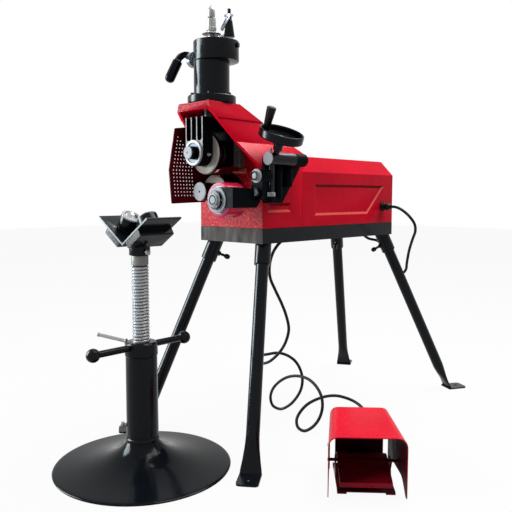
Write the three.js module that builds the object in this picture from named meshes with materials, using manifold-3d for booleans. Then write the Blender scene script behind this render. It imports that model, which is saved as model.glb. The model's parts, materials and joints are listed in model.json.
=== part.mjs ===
// A motor-driven hydraulic pipe roll groover on four legs, with its foot switch and its free-standing
// pipe support. Millimetres, +Z up, the floor at z = 0. The rolls face -Y. Sizes are given from the base
// frame's front face and the machine's middle plane, and the last lines move the origin to the middle of
// the floor that it covers.
import * as THREE from "three";
import { mergeVertices } from "three/addons/utils/BufferGeometryUtils.js";
import Module from "manifold-3d";

const wasm = await Module();
wasm.setup();

// Fits
const GAP = 0.3;
const RUNNING = 0.4;
const SHAFT_CLEAR = 0.9;
const SEGMENTS = 16;
const FINE = 24;
const COARSE = 10;
const DISH_SIDES = 36;

// Further out than anything here, for cuts that go right through
const FAR = 400;

// Base frame and legs
const FRAME = { width: 248, length: 638, top: 600, height: 41, wall: 4, lip: 26, corner: 60 };
const LEG = { radius: 17.5, bore: 15.2, sides: 12, topX: 95.5, inset: 34, rearInset: 16.5, footX: 229 };
const FOOT = { front: -153, behind: 224, width: 56, length: 62, thick: 5, hole: 6 };
const SOCKET = { wall: 4.2, length: 62, screwDrop: 34 };
const KNOB_SCREW = { radius: 4, length: 24, knob: 7.5 };

// Red frame casting: gearbox box below, tapered head above
const BOX = { depth: 166, height: 156, wall: 12 };
const BOX_TOP = FRAME.top + BOX.height;
const HEAD = {
  rise: 175, lip: 21, front: -132, crown: -20, ledge: 4, halfTop: 60, drop: 106, halfBend: 92, wall: 11,
};
const HEAD_TOP = BOX_TOP + HEAD.rise;
const BEND = HEAD_TOP - HEAD.drop;
const BAND = { low: BEND + 3, high: BEND + 61, depth: 3 };
const HOUSING = { top: BOX_TOP + 45, chamfer: 24, hip: 47, wall: 3 };
const PANEL = { front: 56, low: 31, high: 121, rearLow: 148, rearHigh: 52, depth: 3 };
const POCKET = { front: 20, back: 116, low: 43, high: 68, depth: 3 };

// Rolls
const RAM = { y: -66.3, rod: 24, piston: 35.6, travel: 14 };
const SHAFT = {
  rise: 99.2, apart: 100.8, upperRadius: 17, lowerRadius: 24.8, upperTip: -152.9, lowerTip: -113.2,
};
const LOWER_AXIS = FRAME.top + SHAFT.rise;
const UPPER_AXIS = LOWER_AXIS + SHAFT.apart;
const UPPER_ROLL = { front: -92, back: -42, disc: 54.9, discWidth: 13, body: 38 };
const TONGUE = { radius: 40, at: -51, width: 8 };
const LOWER_ROLL = { front: -60, back: -7, rim: 46, groove: 41.5, flange: 52, flangeWidth: 7 };
const YOKE = { half: 34, front: -130, back: -8, top: HEAD_TOP - 38, crotch: UPPER_AXIS + 62 };
const SLOTS = { count: 3, rib: 4, depth: 9, low: UPPER_AXIS + 32 };
const RING = { outer: 33.5, inner: 26, width: 5, seat: 28.5 };
const RAIL = {
  width: 23, front: -20, low: UPPER_AXIS - 35, high: UPPER_AXIS + 72, hole: 2.6, holeIn: 7.6,
  holes: [14, 43],
};
const LEDGE = { left: 37, right: 64, front: -26, low: RAIL.low - 16, thick: 5, high: RAIL.low - 3, back: 4 };
const MOTOR = { box: 72, front: 60, behind: 40, flange: 52, can: 64, canFrom: 46, length: 276 };

// Hydraulic unit
const FLANGE = { radius: 64.7, height: 22 };
const CYLINDER = { radius: 47.8, bore: 36, height: 89 };
const BLOCK = { radius: 60.7, height: 52, x: 9, y: -58 };
const BLOCK_LOW = HEAD_TOP + FLANGE.height + CYLINDER.height + GAP;
const BLOCK_TOP = BLOCK_LOW + BLOCK.height;
const STUD = {
  radius: 9.5, disc: 26, discAt: 18, nut: 13.5, nutAt: 28, nutHeight: 35, cap: 10, capAt: 65,
  capHeight: 25,
};
const VALVE = { x: -52, y: -77, z: BLOCK_TOP - 39.3, radius: 21, width: 16, stem: 8, barrel: 14 };
const STRAP = { out: 9, half: 8, halfThick: 4.5 };
const GRIP = { radius: 13.5, length: 70 };
const PUMP = { pivotX: 2, pivotY: -30, pivotZ: BLOCK_TOP + 16.7, pin: 3, hub: 7, half: 4.6, cheek: 9 };
const PUMP_SOCKET = { x: 30, radius: 15, top: 9, height: 48, neck: 7 };
const PUMP_LINK = {
  half: 5.5, thick: 3, front: -14, low: [11, 16], high: [43, 51], hole: 2.4, holes: [0.2, 0.5, 0.8],
};
const PLUNGER = { x: 16, radius: 5 };

// Stabiliser on the right-hand side
const STAB = { boss: 17, pin: 10, barRadius: 17.5, barFront: -8, barBack: 91.6, journal: 9 };
const PIVOT = { x: FRAME.width / 2 + 26, z: FRAME.top + 139 };
const BOLT_Z = PIVOT.z - 43;
const BAR_Z = PIVOT.z + 46;
const BRACKET = {
  thick: 10, foot: 68, back: 162, low: PIVOT.z - 70, high: PIVOT.z + 54, front: -2, web: 12,
  rearBoss: [92, 137],
};
const CLAMP = { x: PIVOT.x - 2, y: 9, low: PIVOT.z - 65, collar: PIVOT.z - 53, stem: PIVOT.z - 41 };
const ROLLER = {
  x: PIVOT.x - 60, z: FRAME.top + 77.3, radius: 44.9, hub: 36, plate: 33, front: -126.5, length: 60,
};
const ARM = { thick: 5, height: 52, z: ROLLER.z + 6.3, barThick: 10, eye: 19, back: -32, link: 16.7 };
const WHEEL = {
  x: PIVOT.x + 28, y: 13, z: BAR_Z + 58.6, radius: 59.5, rim: 24, wall: 5, hub: 13, screw: 8, reach: 59,
};
const WHEEL_LEAN = new THREE.Vector3(0.44, -0.08, 1).normalize();
const CRANK = { x: -39.6, y: -18, pin: 4, foot: 8.5, head: 12.5, length: 68 };

// Guard, switch and support stand
const GUARD = { x: -63, thick: 2.5, fold: 16, foldLow: 80, foldHigh: 148 };
const GUARD_EDGE = [
  [-143, 268, 3], [-106, 273], [-30, 180], [-GAP, 152], [-GAP, 72], [-156, 67, 3], [-164, 157],
];
const PEDAL = {
  x: 502.9, y: -51.7, turn: 40.9, width: 181, depth: 185, height: 142, rise: 9, sheet: 2, taper: 0.17,
};
const PEDAL_PIN = { y: 104, z: 46, radius: 4 };
const SWITCH_BASE = { beside: 6, low: 4, high: 7, pad: 22, padLength: 16, cheek: 3 };
const STAND = {
  x: -16.1, y: -297, radius: 225, dish: 73, column: 40.5, screw: 22, neck: 17, nutLow: 288, nutHigh: 323,
};
const HANDLE = { reach: 139, ball: 17, radius: 8.5 };
const VHEAD = {
  half: 100, low: 573, high: 638, length: 103, plate: 5, box: 17, socket: 26, boxFrom: 12, boxTo: 74,
  ballAt: 62,
};
const BALL = { radius: 17.6, seat: 12 };
const LEVER_WAY = new THREE.Vector3(-0.86, -0.48, 0.16).normalize();
const CORD = { diameter: 9, steps: 80, checks: 900, fromSide: 18, below: 32, runFront: 200, runBack: 198 };
const GLAND_AT = { y: FRAME.length - 63, z: FRAME.top + 53 };
const GLAND = { thread: 8, hex: 13, dome: 10.5, length: 36, bore: CORD.diameter / 2 + GAP };

const red = new THREE.MeshStandardMaterial({ color: 0xc4122a, roughness: 0.38, metalness: 0.1 });
const deepRed = new THREE.MeshStandardMaterial({ color: 0x6a0c1c, roughness: 0.5, metalness: 0.1 });
const black = new THREE.MeshStandardMaterial({ color: 0x14161a, roughness: 0.3, metalness: 0.2 });
const darkSteel = new THREE.MeshStandardMaterial({ color: 0x26292e, roughness: 0.4, metalness: 0.8 });
const steel = new THREE.MeshStandardMaterial({ color: 0xb9bcc0, roughness: 0.25, metalness: 1 });
const zinc = new THREE.MeshStandardMaterial({ color: 0xd0d2cf, roughness: 0.35, metalness: 1 });
const pink = new THREE.MeshStandardMaterial({ color: 0xd0205a, roughness: 0.35, metalness: 0 });
const rubber = new THREE.MeshStandardMaterial({ color: 0x101114, roughness: 0.6, metalness: 0 });
const plastic = new THREE.MeshStandardMaterial({ color: 0x18191c, roughness: 0.4, metalness: 0 });

// A three.js geometry as a closed solid that faces out.
function solid(geometry) {
  if (!geometry.isBufferGeometry) return geometry;
  const bare = new THREE.BufferGeometry();
  bare.setAttribute("position", geometry.getAttribute("position").clone());
  if (geometry.index) bare.setIndex(geometry.index.clone());
  const merged = mergeVertices(bare, 1e-3);
  const triVerts = new Uint32Array(merged.index.array);
  const vertProperties = new Float32Array(merged.attributes.position.array);
  const build = () => new wasm.Manifold(new wasm.Mesh({ numProp: 3, vertProperties, triVerts }));
  const made = build();
  if (made.volume() > 0) return made;
  for (let i = 0; i < triVerts.length; i += 3) {
    [triVerts[i + 1], triVerts[i + 2]] = [triVerts[i + 2], triVerts[i + 1]];
  }
  return build();
}

function join(...pieces) {
  return pieces.map(solid).reduce((whole, piece) => whole.add(piece));
}

function cut(piece, ...tools) {
  return tools.map(solid).reduce((whole, tool) => whole.subtract(tool), solid(piece));
}

function common(a, b) {
  return solid(a).intersect(solid(b));
}

function geometryOf(made) {
  const mesh = made.getMesh();
  const geometry = new THREE.BufferGeometry();
  const corners = new Float32Array(mesh.numVert * 3);
  for (let i = 0; i < mesh.numVert; i++) {
    corners.set(mesh.vertProperties.subarray(i * mesh.numProp, i * mesh.numProp + 3), i * 3);
  }
  geometry.setAttribute("position", new THREE.BufferAttribute(corners, 3));
  geometry.setIndex(new THREE.BufferAttribute(new Uint32Array(mesh.triVerts), 1));
  const flat = geometry.toNonIndexed();
  flat.computeVertexNormals();
  return flat;
}

const object = new THREE.Group();

// Adds one named sub-part to a group.
function add(name, shape, material, group = object) {
  const mesh = new THREE.Mesh(geometryOf(solid(shape)), material);
  mesh.name = name;
  group.add(mesh);
  return mesh;
}

// An outline from corners [a, b] or [a, b, radius].
function outline(corners) {
  const path = new THREE.Shape();
  const count = corners.length;
  corners.forEach(([a, b, radius = 0], i) => {
    const here = new THREE.Vector2(a, b);
    const toward = (j) => {
      const other = corners[(j + count) % count];
      const step = new THREE.Vector2(other[0], other[1]).sub(here);
      return step.setLength(Math.min(radius, step.length() / 2)).add(here);
    };
    const before = toward(i - 1);
    const after = toward(i + 1);
    if (i === 0) path.moveTo(before.x, before.y);
    else path.lineTo(before.x, before.y);
    if (radius > 0) path.quadraticCurveTo(a, b, after.x, after.y);
  });
  path.closePath();
  return path;
}

// Extrudes an outline along an axis: outlines are (y, z) along x, (x, z) along y and (x, y) along z.
function extrude(axis, shape, from, to, curveSegments = 3) {
  const depth = to - from;
  const geometry = new THREE.ExtrudeGeometry(shape, { depth, bevelEnabled: false, curveSegments });
  if (axis === "z") return geometry.translate(0, 0, from);
  if (axis === "y") return geometry.rotateX(Math.PI / 2).translate(0, to, 0);
  const turn = new THREE.Matrix4().makeBasis(
    new THREE.Vector3(0, 1, 0),
    new THREE.Vector3(0, 0, 1),
    new THREE.Vector3(1, 0, 0),
  );
  return geometry.applyMatrix4(turn).translate(from, 0, 0);
}

function box(x0, x1, y0, y1, z0, z1) {
  const size = [x1 - x0, y1 - y0, z1 - z0];
  return new THREE.BoxGeometry(...size).translate((x0 + x1) / 2, (y0 + y1) / 2, (z0 + z1) / 2);
}

// Turns a profile of [radius, along] points about an axis through a point.
function turned(axis, profile, at = [0, 0, 0], segments = SEGMENTS) {
  const points = profile.map(([radius, along]) => new THREE.Vector2(radius, along));
  const geometry = new THREE.LatheGeometry(points, segments);
  if (axis === "z") geometry.rotateX(Math.PI / 2);
  if (axis === "x") geometry.rotateZ(-Math.PI / 2);
  return geometry.translate(...at);
}

// A plain round bar, or a ring where inner is given, between two places on an axis.
function bar(axis, radius, from, to, at = [0, 0, 0], inner = 0, segments = SEGMENTS) {
  const outer = [[inner, from], [radius, from], [radius, to], [inner, to]];
  if (inner > 0) outer.push([inner, from]);
  return turned(axis, outer, at, segments);
}

// Puts a geometry that stands on +Z at a point, along a direction.
function aim(geometry, at, direction) {
  const turn = new THREE.Quaternion().setFromUnitVectors(new THREE.Vector3(0, 0, 1), direction);
  return geometry.applyQuaternion(turn).translate(...at);
}

// A closed loft through rings of equal point counts.
function loft(rings) {
  const count = rings[0].length;
  const corners = rings.flat().flat();
  const centre = (ring) => [0, 1, 2].map((k) => ring.reduce((sum, p) => sum + p[k], 0) / count);
  corners.push(...centre(rings[0]), ...centre(rings.at(-1)));
  const first = rings.length * count;
  const index = [];
  for (let i = 0; i < count; i++) {
    const next = (i + 1) % count;
    index.push(first, next, i);
    const top = (rings.length - 1) * count;
    index.push(first + 1, top + i, top + next);
    for (let r = 0; r < rings.length - 1; r++) {
      const low = r * count;
      const high = low + count;
      index.push(low + i, low + next, high + next, low + i, high + next, high + i);
    }
  }
  const geometry = new THREE.BufferGeometry();
  geometry.setAttribute("position", new THREE.Float32BufferAttribute(corners, 3));
  geometry.setIndex(index);
  return geometry;
}

const frameLow = FRAME.top - FRAME.height;
const frameHalf = FRAME.width / 2;
const socketBore = LEG.radius + RUNNING;
const socketRadius = socketBore + SOCKET.wall;

// The four leg places: top under the frame, foot on the floor, and the directions that its parts use.
const legs = [
  ["front_right", 1, LEG.inset, FOOT.front],
  ["front_left", -1, LEG.inset, FOOT.front],
  ["rear_right", 1, FRAME.length - LEG.rearInset, FRAME.length + FOOT.behind],
  ["rear_left", -1, FRAME.length - LEG.rearInset, FRAME.length + FOOT.behind],
].map(([name, side, topY, footY]) => {
  const top = new THREE.Vector3(side * LEG.topX, topY, frameLow);
  const foot = new THREE.Vector3(side * LEG.footX, footY, FOOT.thick / 2);
  const down = foot.clone().sub(top).normalize();
  const radial = new THREE.Vector3(down.x, down.y, 0).normalize();
  const inward = radial.clone().negate().addScaledVector(down, radial.dot(down)).normalize();
  return { name, top, foot, down, radial, inward };
});

// Base frame: a folded steel tray with an inward lip, corner plates and four leg sockets welded under them
function baseFrame() {
  const { width, length, top, wall, lip, corner } = FRAME;
  const inner = frameHalf - lip;
  const opening = outline([
    [-inner + corner, lip], [inner - corner, lip], [inner, lip + corner], [inner, length - lip - corner],
    [inner - corner, length - lip], [-inner + corner, length - lip],
    [-inner, length - lip - corner], [-inner, lip + corner],
  ]);
  let tray = cut(
    box(-frameHalf, frameHalf, 0, length, frameLow, top),
    box(-width / 2 + wall, width / 2 - wall, wall, length - wall, frameLow + wall, top - wall),
    extrude("z", opening, frameLow - 1, frameLow + wall + 1),
  );
  const under = box(-FAR, FAR, -FAR, length + FAR, 0, frameLow + 0.5);
  const below = box(-FAR, FAR, -FAR, length + FAR, 0, frameLow);
  for (const leg of legs) {
    const tube = aim(bar("z", socketRadius, -20, SOCKET.length), leg.top.toArray(), leg.down);
    const bore = aim(bar("z", socketBore, -20, SOCKET.length + 1), leg.top.toArray(), leg.down);
    const screwAt = leg.top.clone().addScaledVector(leg.down, SOCKET.screwDrop);
    const screw = bar("z", KNOB_SCREW.radius + RUNNING, 5, 40, [0, 0, 0], 0, COARSE);
    tray = join(tray, common(tube, under));
    tray = cut(tray, common(bore, below), aim(screw, screwAt.toArray(), leg.inward));
  }
  add("base_frame", tray, black);
}

// A leg: round tube with an open top, pressed flat below and turned out into a foot plate
function leg({ name, top, foot, down, radial }) {
  const length = top.distanceTo(foot);
  const across = new THREE.Vector3().crossVectors(down, radial).normalize();
  const thick = new THREE.Vector3().crossVectors(across, down).normalize();
  const sections = [
    [10, LEG.radius, LEG.radius], [length - 96, LEG.radius, LEG.radius], [length - 62, LEG.radius + 2, 13],
    [length - 34, FOOT.width / 2 - 5, 6.5], [length - 12, FOOT.width / 2 - 1, 3.6],
    [length, FOOT.width / 2, 2.4],
  ];
  const rings = sections.map(([along, wide, deep]) => {
    const middle = top.clone().addScaledVector(down, along);
    return Array.from({ length: LEG.sides }, (_, i) => {
      const angle = (i / LEG.sides) * 2 * Math.PI;
      const at = middle.clone().addScaledVector(across, wide * Math.cos(angle));
      return at.addScaledVector(thick, deep * Math.sin(angle)).toArray();
    });
  });
  const plate = extrude("z", outline([
    [-8, -FOOT.width / 2, 4], [FOOT.length, -FOOT.width / 2, 12], [FOOT.length, FOOT.width / 2, 12],
    [-8, FOOT.width / 2, 4],
  ]), 0, FOOT.thick);
  const hole = bar("z", FOOT.hole, -1, FOOT.thick + 1, [FOOT.length * 0.55, 0, 0], 0, COARSE);
  const heading = Math.atan2(radial.y, radial.x);
  const placed = (geometry) => geometry.rotateZ(heading).translate(foot.x, foot.y, 0);
  const bore = aim(bar("z", LEG.bore, 0, length - 110, [0, 0, 0], 0, COARSE), top.toArray(), down);
  const above = box(-FAR, FAR, -FAR, FRAME.length + FAR, 0, frameLow);
  const body = common(join(loft(rings), placed(plate)), above);
  add("leg_" + name, cut(body, bore, placed(hole)), black);
}

// A hand screw that clamps a leg in its socket
function legScrew({ name, top, down, inward }) {
  const at = top.clone().addScaledVector(down, SOCKET.screwDrop);
  const start = LEG.radius + GAP;
  const end = socketRadius + KNOB_SCREW.length;
  const { radius, knob } = KNOB_SCREW;
  const profile = [
    [0, start], [radius, start], [radius, end - 4], [radius + 2, end - 3], [knob, end], [knob, end + 7],
    [knob - 3, end + 11], [0, end + 12],
  ];
  add("leg_screw_" + name, aim(turned("z", profile, [0, 0, 0], COARSE), at.toArray(), inward), darkSteel);
}

const housingHalf = frameHalf - HOUSING.chamfer;
const sideAt = (z) => {
  const share = (HEAD_TOP - z) / HEAD.drop;
  return HEAD.halfTop + share * (HEAD.halfBend - HEAD.halfTop);
};
const mirrored = (right) => [...right, ...right.map(([x, z]) => [-x, z]).reverse()];

// Frame casting: the gearbox box and the tapered head with its throat in front
function frameCasting() {
  const low = FRAME.top + GAP;
  const section = outline(mirrored([
    [frameHalf, low], [frameHalf, BOX_TOP], [HEAD.halfBend, BEND],
    [sideAt(BAND.low) - BAND.depth, BAND.low], [sideAt(BAND.high) - BAND.depth, BAND.high],
    [sideAt(BAND.high + BAND.depth), BAND.high + BAND.depth], [HEAD.halfTop, HEAD_TOP],
  ]));
  const slope = outline([
    [0, low], [BOX.depth, low], [BOX.depth, BOX_TOP], [BOX.depth + HOUSING.hip, HOUSING.top],
    [HEAD.crown, HEAD_TOP], [HEAD.front, HEAD_TOP], [HEAD.front, HEAD_TOP - HEAD.lip],
    [0, BOX_TOP + HEAD.ledge],
  ]);
  const body = common(
    extrude("y", section, HEAD.front, FRAME.length),
    extrude("x", slope, -frameHalf, frameHalf),
  );
  const throat = outline(mirrored([
    [frameHalf - HEAD.wall, BOX_TOP - 2], [HEAD.halfBend - HEAD.wall, BEND],
    [HEAD.halfTop - HEAD.wall + 6, HEAD_TOP - HEAD.lip],
  ]));
  const back = BOX.wall + 2;
  const inside = outline([
    [back, low + BOX.wall], [FRAME.length, low + BOX.wall], [FRAME.length, BOX_TOP],
    [BOX.depth + HOUSING.hip - 25, BOX_TOP + 14], [back, BEND + 22],
  ]);
  const hollow = outline(mirrored([
    [frameHalf - BOX.wall, low + BOX.wall], [frameHalf - BOX.wall, BOX_TOP - 10],
    [HEAD.halfBend - BOX.wall - 3, BEND], [sideAt(BEND + 30) - BOX.wall - 3, BEND + 30],
  ]));
  const rearCavity = common(
    extrude("y", hollow, back, FRAME.length),
    extrude("x", inside, -frameHalf, frameHalf),
  );
  const pocketHeights = [FRAME.top + POCKET.low, FRAME.top + POCKET.high];
  const pocket = (x0, x1) => box(x0, x1, POCKET.front, POCKET.back, ...pocketHeights);
  const casting = cut(
    body,
    extrude("y", throat, HEAD.front - 1, 2),
    rearCavity,
    pocket(frameHalf - POCKET.depth, frameHalf + 1),
    pocket(-frameHalf - 1, POCKET.depth - frameHalf),
    bar("y", SHAFT.lowerRadius + 8, -1, 30, [0, 0, LOWER_AXIS]),
    bar("z", RAM.rod + RUNNING, HEAD_TOP - HEAD.lip - 1, HEAD_TOP + 1, [0, RAM.y, 0]),
  );
  const ledgeTop = LEDGE.low + LEDGE.thick;
  const ledge = outline([
    [LEDGE.front, LEDGE.low, 1], [2, LEDGE.low], [2, LEDGE.high], [2 - LEDGE.back, LEDGE.high],
    [2 - LEDGE.back, ledgeTop], [LEDGE.front, ledgeTop, 1],
  ]);
  add("frame_casting", join(casting, extrude("x", ledge, LEDGE.left, LEDGE.right)), red);
}

// Rear housing: a folded cover with sloped shoulders and a pressed panel in each side
function rearHousing() {
  const low = FRAME.top + GAP;
  const start = BOX.depth + GAP;
  const section = (inset) => outline(mirrored([
    [frameHalf - inset, low - (inset ? 1 : 0)], [frameHalf - inset, BOX_TOP - inset * 0.35],
    [housingHalf - inset * 0.75, HOUSING.top - inset],
  ]));
  const slope = outline([
    [start, low], [FRAME.length, low], [FRAME.length, BOX_TOP],
    [FRAME.length - HOUSING.hip * 0.75, HOUSING.top],
    [start + HOUSING.hip + 0.4, HOUSING.top], [start, BOX_TOP],
  ]);
  const wall = HOUSING.wall;
  const core = outline([
    [start - 1, low - 2], [FRAME.length - wall, low - 2], [FRAME.length - wall, BOX_TOP],
    [FRAME.length - HOUSING.hip * 0.75 - wall, HOUSING.top - wall], [start - 1, HOUSING.top - wall],
  ]);
  const shell = cut(
    common(extrude("y", section(0), start, FRAME.length), extrude("x", slope, -frameHalf, frameHalf)),
    common(
      extrude("y", section(wall), start - 1, FRAME.length - wall),
      extrude("x", core, -frameHalf, frameHalf),
    ),
  );
  const panel = outline([
    [start + PANEL.front, FRAME.top + PANEL.low], [FRAME.length - PANEL.rearLow, FRAME.top + PANEL.low],
    [FRAME.length - PANEL.rearHigh, FRAME.top + PANEL.high], [start + PANEL.front, FRAME.top + PANEL.high],
  ]);
  const pressed = (side) => {
    const face = side * frameHalf;
    const outer = side > 0 ? [face - PANEL.depth * 0.6, face + 1] : [face - 1, face + PANEL.depth * 0.6];
    return extrude("x", panel, ...outer);
  };
  const glandAt = [0, GLAND_AT.y, GLAND_AT.z];
  const cordHole = bar("x", GLAND.thread + RUNNING, frameHalf - 10, frameHalf + 1, glandAt, 0, COARSE);
  add("rear_housing", cut(shell, pressed(1), pressed(-1), cordHole), red);
}

// The cable gland on the right-hand side near the rear
function cableGland() {
  const { hex, dome, bore, length, thread } = GLAND;
  const profile = [
    [bore, -8], [thread, -8], [thread, GAP], [hex, GAP], [hex, 11], [dome + 1, 11.5], [dome + 1, 22],
    [dome, 28], [7.5, length], [bore, length], [bore, -8],
  ];
  add("cable_gland", turned("x", profile, [frameHalf, GLAND_AT.y, GLAND_AT.z], SEGMENTS), plastic);
}

// Motor and reducer inside the closed housing
function drive() {
  const y = BOX.depth + MOTOR.behind;
  const z = LOWER_AXIS;
  const gearbox = box(-MOTOR.box, MOTOR.box, MOTOR.front, y, FRAME.top + BOX.wall + 1, BOX_TOP + 5);
  const end = y + MOTOR.length;
  const motor = [
    [0, y - 1], [MOTOR.flange, y - 1], [MOTOR.flange, y + MOTOR.canFrom],
    [MOTOR.can, y + MOTOR.canFrom + 14],
    [MOTOR.can, end - 26], [MOTOR.can - 10, end - 2], [0, end],
  ];
  const bore = bar("y", SHAFT.lowerRadius + SHAFT_CLEAR, MOTOR.front - 1, MOTOR.front + 70, [0, 0, z]);
  add("gear_motor", cut(join(gearbox, turned("y", motor, [0, 0, z], SEGMENTS)), bore), darkSteel);
}

// Drive shaft with the lower roll pushed over it, and the bearing cover behind
function lowerRoll() {
  const z = LOWER_AXIS;
  const radius = SHAFT.lowerRadius;
  const tip = SHAFT.lowerTip;
  const end = MOTOR.front + 68;
  const shaft = [[0, tip + 4], [3, tip], [radius - 1.5, tip], [radius, tip + 1.5], [radius, end], [0, end]];
  add("drive_shaft", turned("y", shaft, [0, 0, z]), darkSteel);
  const { front, back, rim, groove, flange, flangeWidth } = LOWER_ROLL;
  const tongue = TONGUE.at;
  const half = TONGUE.width / 2 + 2;
  const bore = radius + RUNNING;
  const roll = [
    [bore, front], [rim - 2, front], [rim, front + 2], [rim, tongue - half - 0.5],
    [groove, tongue - half + 2],
    [groove, tongue + half - 2], [rim, tongue + half], [rim, back - flangeWidth],
    [flange, back - flangeWidth + 1],
    [flange, back - 1], [flange - 1, back], [bore, back], [bore, front],
  ];
  add("lower_roll", turned("y", roll, [0, 0, z], FINE), steel);
  const clear = radius + SHAFT_CLEAR;
  const cover = [[clear, -4.6], [48, -4.6], [50, -2.6], [50, -GAP], [clear, -GAP], [clear, -4.6]];
  add("bearing_cover", turned("y", cover, [0, 0, z]), black);
}

// Ram, yoke, upper roll and shaft: everything that goes down with the ram
function ramAndYoke() {
  const at = [0, RAM.y, 0];
  const pistonLow = HEAD_TOP + FLANGE.height + RAM.travel + 2;
  const pistonHigh = pistonLow + 30;
  const ram = [
    [0, YOKE.top + GAP], [RAM.rod, YOKE.top + GAP], [RAM.rod, pistonLow], [RAM.piston, pistonLow],
    [RAM.piston, pistonHigh], [0, pistonHigh],
  ];
  add("ram", turned("z", ram, at), steel);
  const z = UPPER_AXIS;
  const eye = YOKE.half;
  const arch = new THREE.Shape();
  arch.moveTo(eye, YOKE.top);
  arch.lineTo(-eye, YOKE.top);
  arch.lineTo(-eye, z);
  arch.absarc(0, z, eye, Math.PI, 2 * Math.PI, false);
  arch.lineTo(eye, YOKE.top);
  const rollGap = { front: UPPER_ROLL.front - 3.4, back: UPPER_ROLL.back + 3.4 };
  const slotWidth = (2 * eye - (SLOTS.count + 1) * SLOTS.rib) / SLOTS.count;
  const slots = Array.from({ length: SLOTS.count }, (_, i) => {
    const x = -eye + SLOTS.rib + i * (slotWidth + SLOTS.rib);
    const slot = outline([
      [x, SLOTS.low, 5], [x + slotWidth, SLOTS.low, 5], [x + slotWidth, YOKE.top + 1], [x, YOKE.top + 1],
    ]);
    return extrude("y", slot, YOKE.front - 1, YOKE.front + SLOTS.depth, 3);
  });
  const yoke = cut(
    extrude("y", arch, YOKE.front, YOKE.back, 12),
    box(-eye - 1, eye + 1, rollGap.front, rollGap.back, z - eye - 1, YOKE.crotch),
    bar("y", SHAFT.upperRadius + RUNNING, YOKE.front - 1, YOKE.back + 1, [0, 0, z]),
    bar("y", RING.seat, YOKE.front - 1, YOKE.front + 8, [0, 0, z]),
    ...slots,
  );
  add("yoke", yoke, black);
  const ringFront = YOKE.front - RING.width;
  const ring = [
    [SHAFT.upperRadius + RUNNING, ringFront + 2], [RING.inner, ringFront + 2], [RING.inner, ringFront],
    [RING.outer, ringFront], [RING.outer, YOKE.front - GAP], [RING.seat - GAP, YOKE.front - GAP],
    [RING.seat - GAP, YOKE.front + 7], [SHAFT.upperRadius + RUNNING, YOKE.front + 7],
    [SHAFT.upperRadius + RUNNING, ringFront + 2],
  ];
  add("bearing_ring", turned("y", ring, [0, 0, z]), steel);
  const radius = SHAFT.upperRadius;
  const tip = SHAFT.upperTip;
  const end = YOKE.back - 1;
  const shaft = [
    [0, tip + 3], [2.5, tip], [radius - 1.5, tip], [radius, tip + 1.5], [radius, end], [0, end],
  ];
  add("upper_shaft", turned("y", shaft, [0, 0, z]), darkSteel);
  const { front, back, disc, discWidth, body } = UPPER_ROLL;
  const bore = radius + RUNNING;
  const half = TONGUE.width / 2;
  const roll = [
    [bore, front], [disc - 3, front], [disc, front + 2], [disc, front + discWidth - 1],
    [disc - 1, front + discWidth], [body, front + discWidth], [body, TONGUE.at - half - 1],
    [TONGUE.radius, TONGUE.at - half], [TONGUE.radius, TONGUE.at + half], [body, TONGUE.at + half + 1],
    [body, back],
    [bore, back], [bore, front],
  ];
  add("upper_roll", turned("y", roll, [0, 0, z], FINE), steel);
  return pistonHigh;
}

// Guide rails bolted to the throat's back wall, one on each side of the yoke
function guideRails() {
  const near = YOKE.half + 2 * GAP;
  const far = near + RAIL.width;
  for (const [name, side] of [["left", -1], ["right", 1]]) {
    const x = side > 0 ? [near, far] : [-far, -near];
    const holes = RAIL.holes.map((up) => {
      const at = [side * (far - RAIL.holeIn), 0, RAIL.low + up];
      return bar("y", RAIL.hole, RAIL.front - 1, RAIL.front + 6, at, 0, COARSE);
    });
    add("guide_rail_" + name, cut(box(...x, RAIL.front, 2 - GAP, RAIL.low, RAIL.high), ...holes), darkSteel);
  }
}

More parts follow.
